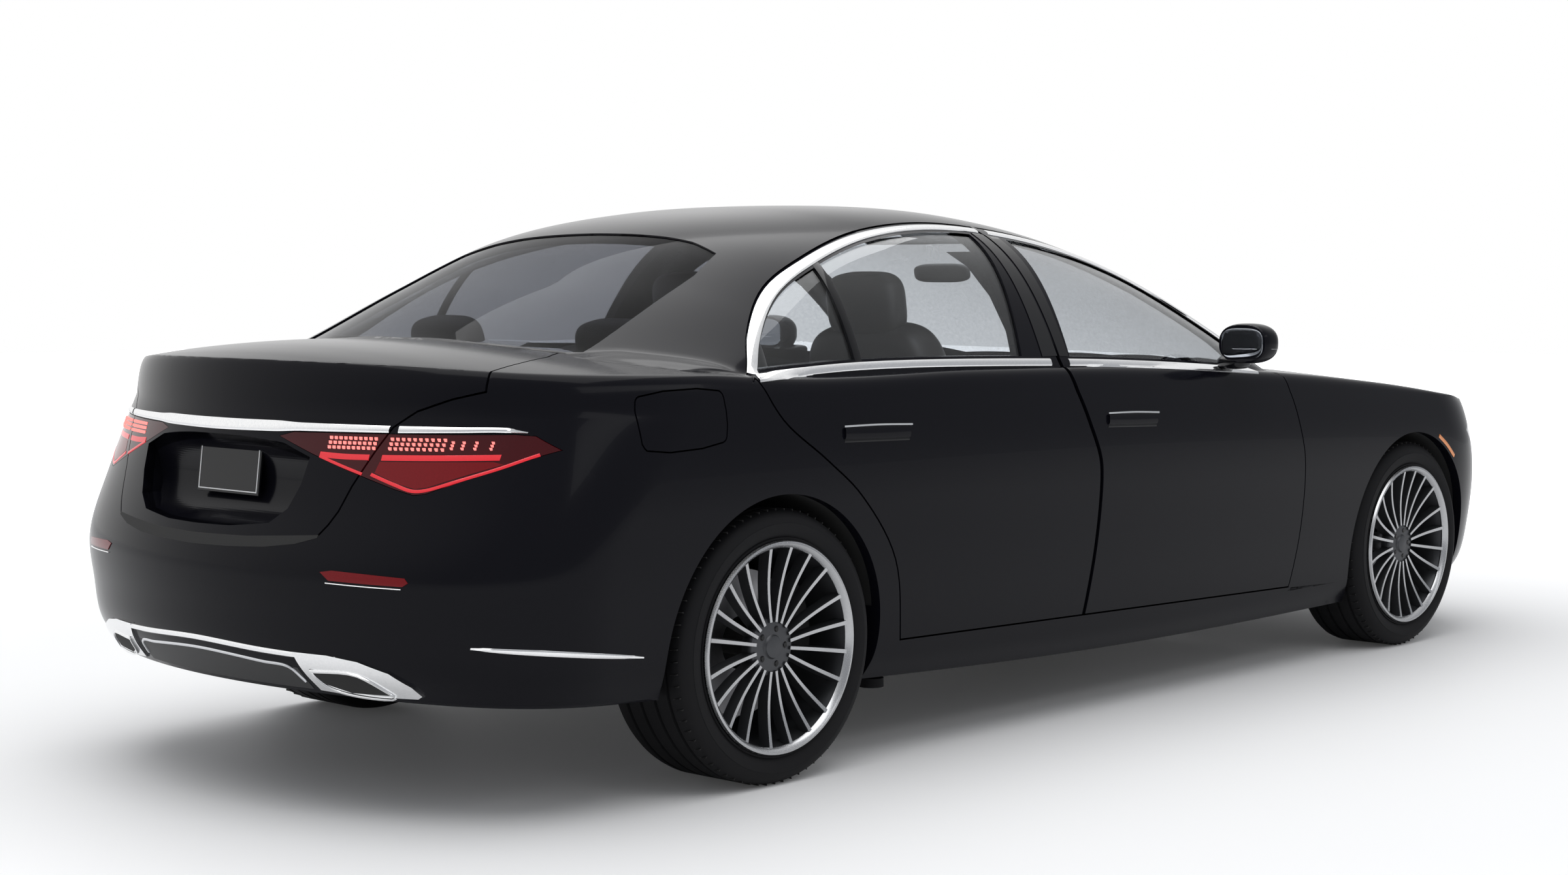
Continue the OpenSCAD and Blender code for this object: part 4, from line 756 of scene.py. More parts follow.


# The rear pane takes the glass whose dark colour is painted shade of the cabin behind it.
for name, node, area, mat in (("screen_pane", "windshield", screen, GLASS),
                              ("rear_pane", "backlight", rear_screen, GLASS_PAINTED_SHADE)):
    pane(name, node, "body", inset(mirrored(area), -SCREEN_LAP), "top", ROOF_FLOOR, FAR, mat)
for s, side in SIDES:
    for part, area in (("front", front_pane), ("rear", rear_pane)):
        pane(f"{part}_pane_{side}", f"{part}_glass_{side}", f"{part}_door_{side}",
             inset(area, -PANE_LAP), "side", *outer_span(s, FRAME_INNER))
print("panes cut")

# %% [markdown]
# ## Trim that follows the skin
# Bright strips, seals, grooves and lamp blocks all lie on a curved skin. A ray is shot at the
# skin for each point of a flat path, so a ribbon drawn in the side or rear view lands exactly on
# the metal.

# %% Ribbons on the skin
RAYS = {"side": (lambda a, b: (a, -3000, b), (0, 1, 0)),
        "left": (lambda a, b: (a, 3000, b), (0, -1, 0)),
        "rear": (lambda a, b: (-3000, a, b), (1, 0, 0))}
CREASE = .7


def land(view, a, b):
    far, way = RAYS[view]
    start, way = Vector(place(far(a, b))), Vector(way)
    casts = [tree.ray_cast(start, way) for tree, _ in trees]
    hits = [(h[3], h[0], h[1]) for h in casts if h[0] is not None]
    if not hits:
        return start, -way
    hit = min(hits, key=lambda h: h[0])
    return hit[1], hit[2] if hit[2].dot(way) < 0 else -hit[2]


def tube(name, rows):
    n, m = len(rows), len(rows[0])
    faces = ring_faces(n, m) + [list(range(m)), list(range((n - 1) * m, n * m))]
    return soften(make(name, [p for r in rows for p in r], faces), CREASE)


def ribbon(name, view, path, half, height, mat, body_name, sink=3.0):
    p = np.asarray(path, float)
    t = np.gradient(p, axis=0)
    nrm = np.stack([-t[:, 1], t[:, 0]], -1) / np.maximum(np.linalg.norm(t, axis=1), 1e-9)[:, None]
    half = np.broadcast_to(np.asarray(half, float), (len(p),))
    section = ((-1, -sink), (-.92, .55 * height), (-.5, height), (.5, height), (.92, .55 * height),
               (1, -sink))
    rows = []
    for q, v, hw in zip(p, nrm, half):
        spots = [(land(view, *(q + v * o * hw)), h) for o, h in section]
        rows.append([co + no * h / 1000 for (co, no), h in spots])
    return dress(tube(name, rows), mat, body_name)


PATCH_SPAN = {"side": (-FAR, 0), "left": (0, FAR), "rear": (-FAR, 1500)}


def patch(name, view, poly, height, mat, body_name, step=12.0, sink=2.0):
    p = np.asarray(poly, float)
    lo, hi = p.min(0), p.max(0)
    tool = prism(p, "rear" if view == "rear" else "side", *PATCH_SPAN[view])
    us, vs = (np.arange(lo[i] - step, hi[i] + 2 * step, step) for i in (0, 1))
    hits = [land(view, u, v) for u in us for v in vs]
    verts = [c + no * height / 1000 for c, no in hits] + [c - no * sink / 1000 for c, no in hits]
    n, m, k = len(us), len(vs), len(hits)
    cells = [i * m + j for i in range(n - 1) for j in range(m - 1)]
    faces = [[q, q + 1, q + m + 1, q + m] for q in cells]
    faces += [[k + q, k + q + m, k + q + m + 1, k + q + 1] for q in cells]
    edge = [i * m for i in range(n)] + [(n - 1) * m + j for j in range(1, m)]
    edge += [i * m + m - 1 for i in range(n - 2, -1, -1)] + list(range(m - 2, 0, -1))
    faces += [[a, b, k + b, k + a] for a, b in zip(edge, edge[1:] + edge[:1])]
    slab = make("slab", verts, faces)
    scrap.append(slab)
    return dress(soften(cut(name, slab, ("INTERSECT", tool)), CREASE), mat, body_name)


print("ribbons and patches ready")

# %% [markdown]
# ## Trim of the sides
# A bright line runs round the windows and along their sill, split at the doors so that each piece
# rides on its own door. Handles, the bumper's side strip and the amber marker are ribbons too,
# and the black posts between the windows are patches.

# %% Side trim
TRIM_SPLIT, BELT_SPLIT, BELT_END, HANDLE_DROP, SHADOW_DROP = (1200, 1208), (1222,
    1232), 2290, 14, 34
for s, side in SIDES:
    view = "side" if s < 0 else "left"
    front, rear = f"front_door_{side}", f"rear_door_{side}"
    mid = inset(window, 2)[:len(arch)]
    wide = np.interp(mid[:, 0], [-62, 60, 300, 900, 2300], [15, 13, 10, 6.5, 5.5])
    back, fore = mid[:, 0] < TRIM_SPLIT[0], mid[:, 0] > TRIM_SPLIT[1]
    ribbon(f"rear_arch_trim_{side}", view, mid[back], wide[back], 5, CHROME, rear)
    ribbon(f"front_arch_trim_{side}", view, mid[fore], wide[fore], 5, CHROME, front)
    belt = sill[::-1] - [0, 2]
    back = belt[:, 0] < BELT_SPLIT[0]
    fore = (belt[:, 0] > BELT_SPLIT[1]) & (belt[:, 0] < BELT_END)
    ribbon(f"rear_belt_trim_{side}", view, belt[back], 11, 6, CHROME, rear)
    ribbon(f"front_belt_trim_{side}", view, belt[fore], 11, 6, CHROME, front)
    rear_post = [[1150, 1062], [1221, 1062], [1197, 1412], [1150, 1416]]
    front_post = [[1232, 1061], [1275, 1059], [1262, 1405], [1208, 1411]]
    patch(f"rear_post_{side}", view, rear_post, 2.2, GLOSS, rear)
    patch(f"front_post_{side}", view, front_post, 2.2, GLOSS, front)
    bar = fair([[356, 1058], [366, 1200], [388, 1336]], 10)
    ribbon(f"quarter_bar_{side}", view, bar, 14, 1.5, GLOSS, rear, 9)
    for part, x0, x1, z0, z1 in (("rear", 231, 491, 903, 897), ("front", 1396, 1643, 888, 880)):
        door, xm, zm = f"{part}_door_{side}", (x0 + x1) / 2, (z0 + z1) / 2
        grip = fair([[x0, z0 - HANDLE_DROP], [xm, zm - HANDLE_DROP - 1], [x1, z1 - HANDLE_DROP]],
                    12)
        edge = fair([[x0 - 6, z0 + 3], [xm, zm + 5], [x1 + 6, z1 + 3]], 12)
        shadow = fair([[x0, z0 - SHADOW_DROP], [x1, z1 - SHADOW_DROP]], 12)
        ribbon(f"{part}_handle_{side}", view, grip, 17, 7, PAINT, door)
        ribbon(f"{part}_handle_trim_{side}", view, edge, 4.5, 9, CHROME, door)
        ribbon(f"{part}_handle_shadow_{side}", view, shadow, 5, .6, GLOSS, door)
    strip = fair([[-890, 437], [-734, 420], [-474, 384]], 14)
    taper = 1.5 + 6 * np.sin(np.linspace(.05, math.pi - .05, len(strip))) ** .5
    ribbon(f"bumper_side_trim_{side}", view, strip, taper, 4, CHROME, "body")
    marker = fair([[3389, 727], [3447, 692], [3500, 650]], 8)
    ribbon(f"side_marker_{side}", view, marker, 7, 1.5, AMBER, "body")
print("side trim laid")

# %% [markdown]
# ## The tail
# Triangular lamps run from the wings into the boot lid under one bright bar. The smoked lens is a
# cut of the skin. A red field, glowing bands and the bars lie on it as patches and ribbons.

# %% Tail lamps and bars
LAMP_GAP = 1.5


def flip(poly, s):
    return np.asarray(poly, float) * [s, 1]


def tail_line(name, path, half, height, mat, body_name):
    # one ribbon on each side of the tail
    for s, side in SIDES:
        ribbon(f"{name}_{side}", "rear", flip(path, s), half, height, mat, body_name)


def tail_patch(name, poly, height, mat, body_name):
    for s, side in SIDES:
        patch(f"{name}_{side}", "rear", flip(poly, s), height, mat, body_name)


for s, side in SIDES:
    outline = keep(inset(flip(lamp, s), LAMP_GAP), "rear", *LAMP_SPAN)
    wing = cut(f"wing_lamp_{side}", lower, outline, *less(lower_in, "lid"))
    inner = cut(f"lid_lamp_{side}", lower, outline, *less(lower_in), ("INTERSECT", lid_in))
    dress(polish(wing), SMOKE, "body", "tail_lamps")
    dress(polish(inner), SMOKE, "trunk_lid", "lid_lamps")
bar = fair([[562, 934], [690, 935], [782, 935], [818, 929]], 12)
taper = np.interp(bar[:, 0], [562, 690, 782, 818], [8.5, 7, 6, 2])
tail_line("wing_bar", bar, taper, 5, CHROME, "body")
guide = [[522, 830], [587, 808], [632, 795], [661, 797], [725, 820], [797, 850], [850, 880]]
tail_line("wing_guide", fair(guide, 10), 4, 1.2, LIT, "body")
red_field = [[536, 860], [780, 864], [800, 858], [664, 804], [637, 800], [589, 812], [530, 834]]
tail_patch("wing_red", red_field, .5, RED, "body")
tail_line("wing_glow", fair([[538, 869], [660, 871], [790, 874]], 12), 7, .9, LIT, "body")
tail_line("lid_guide", fair([[372, 868], [430, 850], [498, 830]], 10), 3.5, 1.2, LIT, "trunk_lid")
tail_line("lid_glow", fair([[372, 872], [440, 869], [506, 869]], 12), 7, .9, LIT, "trunk_lid")
reflector = [[448, 602], [480, 607], [571, 603], [666, 598], [675, 587], [663, 578], [573, 580],
             [473, 583]]
tail_patch("bumper_reflector", reflector, 2, RED, "body")
tail_line("reflector_line", fair([[464, 577], [566, 574], [659, 572]], 12), 2.2, 3, CHROME, "body")
bar = fair([[-540, 934], [-280, 934], [0, 932.5], [280, 934], [540, 934]], 14)
taper = np.interp(abs(bar[:, 0]), [0, 230, 290, 540], [15, 14, 10.5, 8.5])
ribbon("lid_bar", "rear", bar, taper, 6, CHROME, "trunk_lid")
print("tail lamps and bars set")

# %% [markdown]
# ## Rows of lit blocks
# Behind the lens stand rows of small lit blocks. Geometry Nodes set one brick on every point of a
# row, make the copies real and give them their finish. The wheels use the same kind of tree, so
# one helper starts both.

# %% Lit blocks
def copy_tree(name, inputs):
    # a tree that sets copies on points, makes them real and gives them a finish
    g = bpy.data.node_groups.new(name, "GeometryNodeTree")
    ids = {}
    for key, kind, value in [("Geometry", "Geometry", None), *inputs,
                             ("Material", "Material", None)]:
        socket = g.interface.new_socket(key, in_out="INPUT", socket_type="NodeSocket" + kind)
        if value is not None:
            socket.default_value = value
        ids[key] = socket.identifier
    g.interface.new_socket("Geometry", in_out="OUTPUT", socket_type="NodeSocketGeometry")
    given, result = g.nodes.new("NodeGroupInput").outputs, g.nodes.new("NodeGroupOutput").inputs
    kinds = ("InstanceOnPoints", "RealizeInstances", "SetMaterial")
    inst, real, put = (g.nodes.new("GeometryNode" + k) for k in kinds)
    wire(g.links, (inst.outputs["Instances"], real.inputs["Geometry"]),
         (real.outputs["Geometry"], put.inputs["Geometry"]),
         (given["Material"], put.inputs["Material"]), (put.outputs["Geometry"], result["Geometry"]))
    return g, ids, given, inst.inputs


ROW, ROW_ID, given, inst = copy_tree("lamp_row", [("Block Size", "Vector", (.004, .010, .007))])
brick = ROW.nodes.new("GeometryNodeMeshCube")
wire(ROW.links, (given["Block Size"], brick.inputs["Size"]), (given["Geometry"], inst["Points"]),
     (brick.outputs["Mesh"], inst["Instance"]))
LIFT = .0006


def blocks(name, s, spots, size, body_name):
    hits = [land("rear", s * y, z) for y, z in spots]
    me = bpy.data.meshes.new(name)
    me.from_pydata([tuple(c + n * LIFT) for c, n in hits], [], [])
    ob = link(name, me)
    mod = ob.modifiers.new("row", "NODES")
    mod.node_group = ROW
    mod[ROW_ID["Material"]], mod[ROW_ID["Block Size"]] = SPARK, size
    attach(apply(ob), body_name)


ROWS, POINT_COLUMNS, POINT_ROWS = (890, 901, 912), (690, 712, 737, 767), (893, 900, 907)
for s, side in SIDES:
    for name, y0, y1, body_name in (("lid", 394, 512, "trunk_lid"), ("wing", 552, 672, "body")):
        spots = [(y, z) for z in ROWS for y in np.linspace(y0, y1, 10)]
        blocks(f"{name}_lit_{side}", s, spots, (.003, .0095, .0075), body_name)
    spots = [(y, z) for y in POINT_COLUMNS for z in POINT_ROWS]
    blocks(f"wing_points_{side}", s, spots, (.003, .0085, .006), "body")
print("tail lamps lit")

# %% [markdown]
# ## Number plate, recess and exhaust trim
# The plate stays blank with a thin pale outline, and leans back in the hollow that was scooped
# out of the lid. Below it the bumper carries a dark slot, two bright bars, a dark centre and a
# bright finisher round each pipe.

# %% Plate and lower bumper
CORNERS = [(x, y, z) for x in (0, 1) for y in (0, 1) for z in (0, 1)]
BOX_FACES = [[0, 1, 3, 2], [4, 6, 7, 5], [0, 4, 5, 1], [2, 3, 7, 6], [0, 2, 6, 4], [1, 5, 7, 3]]


def bar_box(name, centre, size, tilt, mat, body_name, bevel=.002):
    verts = [[(c - .5) * w for c, w in zip(corner, size)] for corner in CORNERS]
    ob = make(name, verts, BOX_FACES, False)
    mod = ob.modifiers.new("edge", "BEVEL")
    mod.width, mod.segments = bevel, 3
    apply(ob)
    c, sn = math.cos(tilt), math.sin(tilt)
    for v in ob.data.vertices:
        x, y, z = v.co
        v.co = (x * c + z * sn + centre[0], y + centre[1], -x * sn + z * c + centre[2])
    return dress(ob, mat, body_name)


PLATE, LEAN = place((-992, 0, 822)).tolist(), .13
LINE_WIDTH, LINE_OUT, LINE_UP, LINE_ACROSS = .0028, .0036, .057, .1226
bar_box("plate", PLATE, (.006, .262, .131), LEAN, GLOSS, "trunk_lid")
outline = ((0, LINE_UP, .248, LINE_WIDTH), (0, -LINE_UP, .248, LINE_WIDTH),
           (LINE_ACROSS, 0, LINE_WIDTH, .1168), (-LINE_ACROSS, 0, LINE_WIDTH, .1168))
for k, (dy, dz, w, h) in enumerate(outline):
    at = (PLATE[0] - LINE_OUT + dz * LEAN, dy, PLATE[2] + dz)
    bar_box(f"plate_line_{k}", at, (.002, w, h), LEAN, LINE, "trunk_lid", .0004)
slot = [[0, 668], [200, 672], [423, 686], [421, 679], [359, 662], [265, 650], [146, 644], [0, 641]]
patch("bumper_slot", "rear", across(slot), .6, UNDER, "body", 10)
bar = fair([[-470, 394], [-350, 396], [-250, 399], [0, 408], [250, 399], [350, 396], [470, 394]],
           10)
ribbon("lower_bar", "rear", bar, 7.5, 7, CHROME, "body")
edge = [[-338, 325], [-318, 360], [-231, 369], [0, 381], [231, 369], [318, 360], [338, 325]]
ribbon("lower_line", "rear", fair(edge, 10), 4, 4, SATIN, "body")
finisher = [[348, 403], [450, 402], [532, 392], [605, 368], [645, 335], [655, 312], [640, 304],
            [560, 302], [440, 302], [376, 306], [362, 356]]
mouth = [[385, 362], [520, 361], [575, 322], [583, 309], [470, 307], [406, 326]]
tail_patch("pipe_trim", finisher, 7, CHROME, "body")
tail_patch("pipe_mouth", mouth, 8, UNDER, "body")
tail_line("pipe_ring", fair(np.r_[mouth, mouth[:1]], 6), 4, 12, CHROME, "body")
centre = [[-345, 305], [-340, 362], [-235, 366], [0, 378], [235, 366], [340, 362], [345, 305]]
patch("diffuser", "rear", centre, .8, TRIM, "body")
print("tail dressed")

# %% [markdown]
# ## Wheels and tyres
# Rims, hubs, discs and tyres are turned from a profile. A group of four fine spokes and a bolt
# are repeated round the hub by one Geometry Nodes tree, which takes the number of copies and the
# finish as named inputs.

# %% Radial copies
RADIAL, RADIAL_ID, given, inst = copy_tree("radial_copies", [("Count", "Int", 5)])
new = RADIAL.nodes.new
pts, index = new("GeometryNodePoints"), new("GeometryNodeInputIndex")
share, angle, vec = new("ShaderNodeMath"), new("ShaderNodeMath"), new("ShaderNodeCombineXYZ")
share.operation, angle.operation = "DIVIDE", "MULTIPLY"
angle.inputs[1].default_value = 2 * math.pi
wire(RADIAL.links, (given["Count"], pts.inputs["Count"]), (index.outputs["Index"], share.inputs[0]),
     (given["Count"], share.inputs[1]), (share.outputs["Value"], angle.inputs[0]),
     (angle.outputs["Value"], vec.inputs["Y"]), (pts.outputs[0], inst["Points"]),
     (given["Geometry"], inst["Instance"]), (vec.outputs["Vector"], inst["Rotation"]))


def settle(ob, centre, s, mat, body_name):
    for v in ob.data.vertices:
        v.co = (v.co.x + centre[0], s * v.co.y + centre[1], v.co.z + centre[2])
    face_out(ob.data)
    return dress(soften(ob, .6), mat, body_name)


def turned(name, profile, n=128):
    p = np.asarray(profile, float) / 1000
    a = np.linspace(0, 2 * math.pi, n, endpoint=False)
    verts = [(r * math.cos(t), y, r * math.sin(t)) for t in a for r, y in p]
    return make(name, verts, ring_faces(n, len(p), True))


def copies(ob, count, mat):
    mod = ob.modifiers.new("copies", "NODES")
    mod.node_group = RADIAL
    mod[RADIAL_ID["Count"]], mod[RADIAL_ID["Material"]] = count, mat
    return apply(ob)


SPOKE_LEANS, SPOKE_ROWS, SPOKE_GROUPS = (-25.5, -8.5, 8.5, 25.5), 14, 5
SPOKE_FROM, SPOKE_LONG, SPOKE_BACK, SPOKE_RISE, SPOKE_SAG, SPOKE_FLARE = 64, 196, 34, 24, 9, .25


def spokes(name, h, top, low, drop):
    # four fine spokes side by side, the top and low half widths being those of their faces
    verts, faces = [], []
    for lean in SPOKE_LEANS:
        a, start, rows = math.radians(lean), len(verts), SPOKE_ROWS
        for k in range(rows):
            u = k / (rows - 1)
            r = (SPOKE_FROM + SPOKE_LONG * u) / 1000
            y = (h - SPOKE_BACK + SPOKE_RISE * u - SPOKE_SAG * math.sin(math.pi * u)) / 1000
            for w, d in ((-low, drop), (-top, 0), (top, 0), (low, drop)):
                w, d = w * (1 + SPOKE_FLARE * u * u) / 1000, d / 1000
                verts.append((r * math.cos(a) - w * math.sin(a), y - d,
                              r * math.sin(a) + w * math.cos(a)))
        for k in range(rows - 1):
            q = start + 4 * k
            faces += [[q + j, q + (j + 1) % 4, q + 4 + (j + 1) % 4, q + 4 + j] for j in range(4)]
        faces += [list(range(start, start + 4)),
                  list(range(start + 4 * rows - 4, start + 4 * rows))]
    return make(name, verts, faces)


print("trees:", ROW.name, RADIAL.name)

# %% [markdown]
# ## Four wheels
# Front and rear wheels differ only in track, width and diameter, so one loop turns all four.
# Profiles are pairs of radius and distance from the wheel's middle, outwards. The tyre's tread has
# four grooves and a row of small cuts.

# %% Four wheels
FRONT, REAR = (821.5, 255, 712), (806.5, 285, 708)
BOLT_CIRCLE, GROOVES, GROOVE_DEPTH, TREAD_CUTS = .046, (.56, .19, -.19, -.56), 7, 72
DISC = [(70, -3), (100, -3), (100, 0), (190, 0), (190, -12), (184, -14), (184, -22), (190, -24),
        (190, -36), (100, -36), (70, -36)]
WHEELS = [(end[0] + side, x, s * size[0], z, *size[1:])
          for (end, x, z), size in zip(AXLES[::-1], (FRONT, REAR)) for s, side in SIDES[::-1]]
for wheel, x, y, z, w, d in WHEELS:
    s, c, h, R, rider = (1 if y > 0 else -1), place((x, y, z)), w / 2, d / 2, f"wheel_{wheel}"
    e = h + 4
    edge = [(254, e - 16), (259, e - 6), (266, e - 1), (272, e - 2), (275, e - 9), (270, e - 20),
            (258, e - 22)]
    lip = turned(f"rim_lip_{wheel}", edge)
    well = [(262, e - 20), (254, e - 42), (247, e - 84), (247, 24 - h), (258, 12 - h),
            (270, 12 - h), (270, 18 - h), (256, 30 - h), (254, e - 84), (260, e - 42),
            (268, e - 20)]
    barrel = turned(f"rim_barrel_{wheel}", well)
    cap = [(.5, e - 30), (22, e - 30.5), (28, e - 32), (30, e - 36), (32, e - 38), (60, e - 39),
           (74, e - 42), (79, e - 50), (79, e - 72), (.5, e - 72)]
    hub = turned(f"wheel_hub_{wheel}", cap)
    disc = turned(f"brake_disc_{wheel}", DISC)
    faces_ob = copies(spokes(f"spoke_faces_{wheel}", e, 4.2, 4.6, 2.5), SPOKE_GROUPS, WHEEL)
    ribs = copies(spokes(f"spoke_ribs_{wheel}", e - 2.2, 4.4, 6.8, 30), SPOKE_GROUPS, WHEEL_DARK)
    bolt = [(0.5, e - 36), (5.5, e - 36), (6.5, e - 38), (9.5, e - 38.6), (9.5, e - 45),
            (.5, e - 45)]
    bolts = turned(f"wheel_bolts_{wheel}", bolt, 18)
    for v in bolts.data.vertices:
        v.co.x += BOLT_CIRCLE
    bolts = copies(bolts, SPOKE_GROUPS, GLOSS)
    for ob, mat in ((lip, WHEEL), (barrel, WHEEL_DARK), (hub, WHEEL_DARK), (disc, STEEL),
                    (faces_ob, WHEEL), (ribs, WHEEL_DARK), (bolts, GLOSS)):
        settle(ob, c, s, mat, rider)
    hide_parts(f"rim_{wheel}")
    t = h - 2
    wall = [(269, t - 17), (275, t - 7), (281, t - 5), (283, t - 9), (290, t - 3), (306, t + 1),
            (318, t + 2), (319, t + .4), (332, t - 3), (344, t - 12), (R - 5, t - 22),
            (R - 2, t - 32)]
    tread = []
    for g in GROOVES:
        low = R - GROOVE_DEPTH
        tread += [(R, g * t + 6), (low, g * t + 4.5), (low, g * t - 4.5), (R, g * t - 6)]
    back = [(r, -q) for r, q in wall[::-1]]
    rubber = wall + [(R, t - 42)] + tread + [(R, 42 - t)] + back
    tyre = settle(turned(f"tyre_{wheel}_rubber", rubber, 160), c, s, RUBBER, rider)
    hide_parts(f"tyre_{wheel}")
    foot_print = ((-46, 3.2), (-46, .6), (-22, -3.2), (-22, -.6))
    verts = [((R + dx) / 1000, (t + a) / 1000, b / 1000) for dx in (-9, .35) for a, b in foot_print]
    tread_block = make(f"tread_cuts_{wheel}", verts, BOX_FACES, False)
    settle(copies(tread_block, TREAD_CUTS, UNDER), c, s, UNDER, rider)
print("wheels turned")

# %% [markdown]
# ## Mirrors, wheel houses and lamps in front
# A mirror shell is a rounded block with a flat face for its glass. One helper makes every such
# rounded form from powers of sine and cosine. Wheel houses close the arches from inside, and the
# headlamps are cuts of the skin.

# %% Door mirrors and headlamps
def pillow(name, centre, size, lean, power, n=40, flat=None):
    u = np.linspace(-math.pi / 2, math.pi / 2, n)
    v = np.linspace(-math.pi, math.pi, 2 * n, endpoint=False)
    waves = (np.cos(u), np.sin(u), np.cos(v), np.sin(v))
    cu, su, cv, sv = (np.sign(c) * np.abs(c) ** power for c in waves)
    x, y = (np.outer(cu, c).ravel() * w / 2 for c, w in ((cv, size[0]), (sv, size[1])))
    z = np.repeat(su, 2 * n) * size[2] / 2
    if flat is not None:
        x = np.maximum(x, flat)
    k, j = math.cos(lean), math.sin(lean)
    pts = place(np.stack([x * k + z * j, y, -x * j + z * k], -1) + centre)
    ob = make(name, pts, ring_faces(n, 2 * n))
    face_out(ob.data, merge=1e-5)
    return soften(ob, .8)


for s, side in SIDES:
    rider = f"front_door_{side}"
    shell = pillow(f"mirror_shell_{side}", (2052, s * 1012, 1082), (150, 178, 124), 0, .78, 36, -38)
    glass = pillow(f"mirror_glass_{side}", (2014, s * 1012, 1082), (6, 150, 94), 0, .6, 20)
    stalk = pillow(f"mirror_foot_{side}", (2085, s * 940, 1020), (84, 96, 40), 0, .6, 20)
    line = pillow(f"mirror_line_{side}", (2066, s * 1022, 1066), (126, 164, 7), 0, .9, 24)
    dress(shell, PAINT, rider, f"mirror_{side}")
    for ob, mat in ((glass, MIRROR), (stalk, GLOSS), (line, CHROME)):
        dress(ob, mat, rider)
HOUSE_RADIUS, HOUSE_WALL, HOUSE_MOUTH, HOUSE_BACK = 402, 8, (560, 1500), 552
for name, x, z in AXLES:
    room = [prism(circle(x, z, HOUSE_RADIUS - HOUSE_WALL, 120), "side",
                  *sorted(s * d for d in HOUSE_MOUTH)) for s in (1, -1)]
    house = cut(f"{name}_wheel_house", lower_in, keep(circle(x, z, HOUSE_RADIUS, 120)),
                *less(*room, core(HOUSE_BACK)))
    dress(polish(house), UNDER, "body")
heads = cut("headlamp_lens", lower, ("INTERSECT", head_pair), *less(lower_in))
dress(polish(heads), LENS, "body", "headlamps")
print("mirrors, wheel houses and headlamps set")

# %% [markdown]
# ## The cabin
# Seats are soft: each cushion is a crowned closed form with drawn-in sides. A table gives the
# place, size, lean and roundness of each cushion on one side, and the loop sets it on both.

# %% Cabin
CUSHIONS = (("front_cushion", (1500, 370, 540), (560, 500, 170), -.10, .45, "front_seats"),
            ("front_back", (1085, 370, 850), (170, 480, 620), -.27, .45, "front_seats"),
            ("front_headrest", (985, 370, 1205), (110, 265, 195), -.15, .55, "front_seats"),
            ("rear_cushion", (540, 325, 500), (500, 620, 170), -.06, .45, "rear_bench"),
            ("rear_back", (75, 325, 830), (170, 620, 570), -.36, .45, "rear_bench"),
            ("rear_headrest", (-5, 350, 1095), (105, 260, 165), -.2, .55, "rear_bench"))
for s, side in SIDES:
    for name, (x, y, z), size, lean, power, node in CUSHIONS:
        ob = pillow(f"{name}_{side}", (x, s * y, z), size, lean, power)
        dress(ob, LEATHER, "body", node)
dress(pillow("cabin_mirror", (1790, 0, 1300), (30, 230, 62), -.2, .55, 24), TRIM, "body")
print("cabin trimmed")

# %% [markdown]
# ## The solids that stay
# Pieces under the car and behind the panels need no dense skin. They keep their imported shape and
# get a finish.

# %% Finishes of the remaining solids
NODE_FINISH = {n: UNDER for n in ("floor_pan", "subframes")}
NODE_FINISH.update({n: STEEL for n in ("hinges", "tow_sockets", "exhaust", "knuckle_l",
                                       "knuckle_r")})
NODE_FINISH.update({"b_pillars": GLOSS, "jack_pads": RUBBER, "dashboard": TRIM,
                    "steering_wheel": TRIM, "engine_block": SATIN, "grille": CHROME})
print("solids kept:", len(NODE_FINISH))

# %% [markdown]
# ## The studio
# A pale floor keeps the car's shadow and turns white away from it. The world is white for the eye
# and through glass, and white only on one side for reflections, which keeps the near flank of the
# car dark.

# %% Floor and background
FLOOR_FADE, FLOOR_NEAR, FLOOR_GLOSS, FLOOR_HALF = (2.6, 8.0), .03, .35, 30


def seen(nodes, links, glossy):
    # white for the eye and through glass, and in part for reflections
    path = nodes.new("ShaderNodeLightPath")
    one, two, part = (nodes.new("ShaderNodeMath") for _ in range(3))
    one.operation = two.operation = "MAXIMUM"
    part.operation = "MULTIPLY"
    wire(links, (path.outputs["Is Camera Ray"], one.inputs[0]),
         (path.outputs["Is Transmission Ray"], one.inputs[1]),
         (one.outputs["Value"], two.inputs[0]), (path.outputs["Is Glossy Ray"], part.inputs[0]),
         (part.outputs["Value"], two.inputs[1]))
    if isinstance(glossy, float):
        part.inputs[1].default_value = glossy
    else:
        links.new(glossy, part.inputs[1])
    return two.outputs["Value"]


def white_stage(name, colour):
    mat = bpy.data.materials.new(name)
    mat.use_nodes = True
    nodes, links = mat.node_tree.nodes, mat.node_tree.links
    pb = nodes["Principled BSDF"]
    pb.inputs["Base Color"].default_value = (*colour, 1)
    pb.inputs["Roughness"].default_value = .6
    pb.inputs["Emission Color"].default_value = (1, 1, 1, 1)
    kinds = ("NewGeometry", "VectorMath", "MapRange", "Math")
    far, size, fade, mul = (nodes.new("ShaderNode" + k) for k in kinds)
    size.operation, fade.interpolation_type, mul.operation = "LENGTH", "SMOOTHSTEP", "MULTIPLY"
    for key, v in zip(("From Min", "From Max", "To Min"), (*FLOOR_FADE, FLOOR_NEAR)):
        fade.inputs[key].default_value = v
    wire(links, (far.outputs["Position"], size.inputs[0]),
         (size.outputs["Value"], fade.inputs["Value"]), (fade.outputs["Result"], mul.inputs[0]),
         (seen(nodes, links, FLOOR_GLOSS), mul.inputs[1]),
         (mul.outputs["Value"], pb.inputs["Emission Strength"]))
    return mat


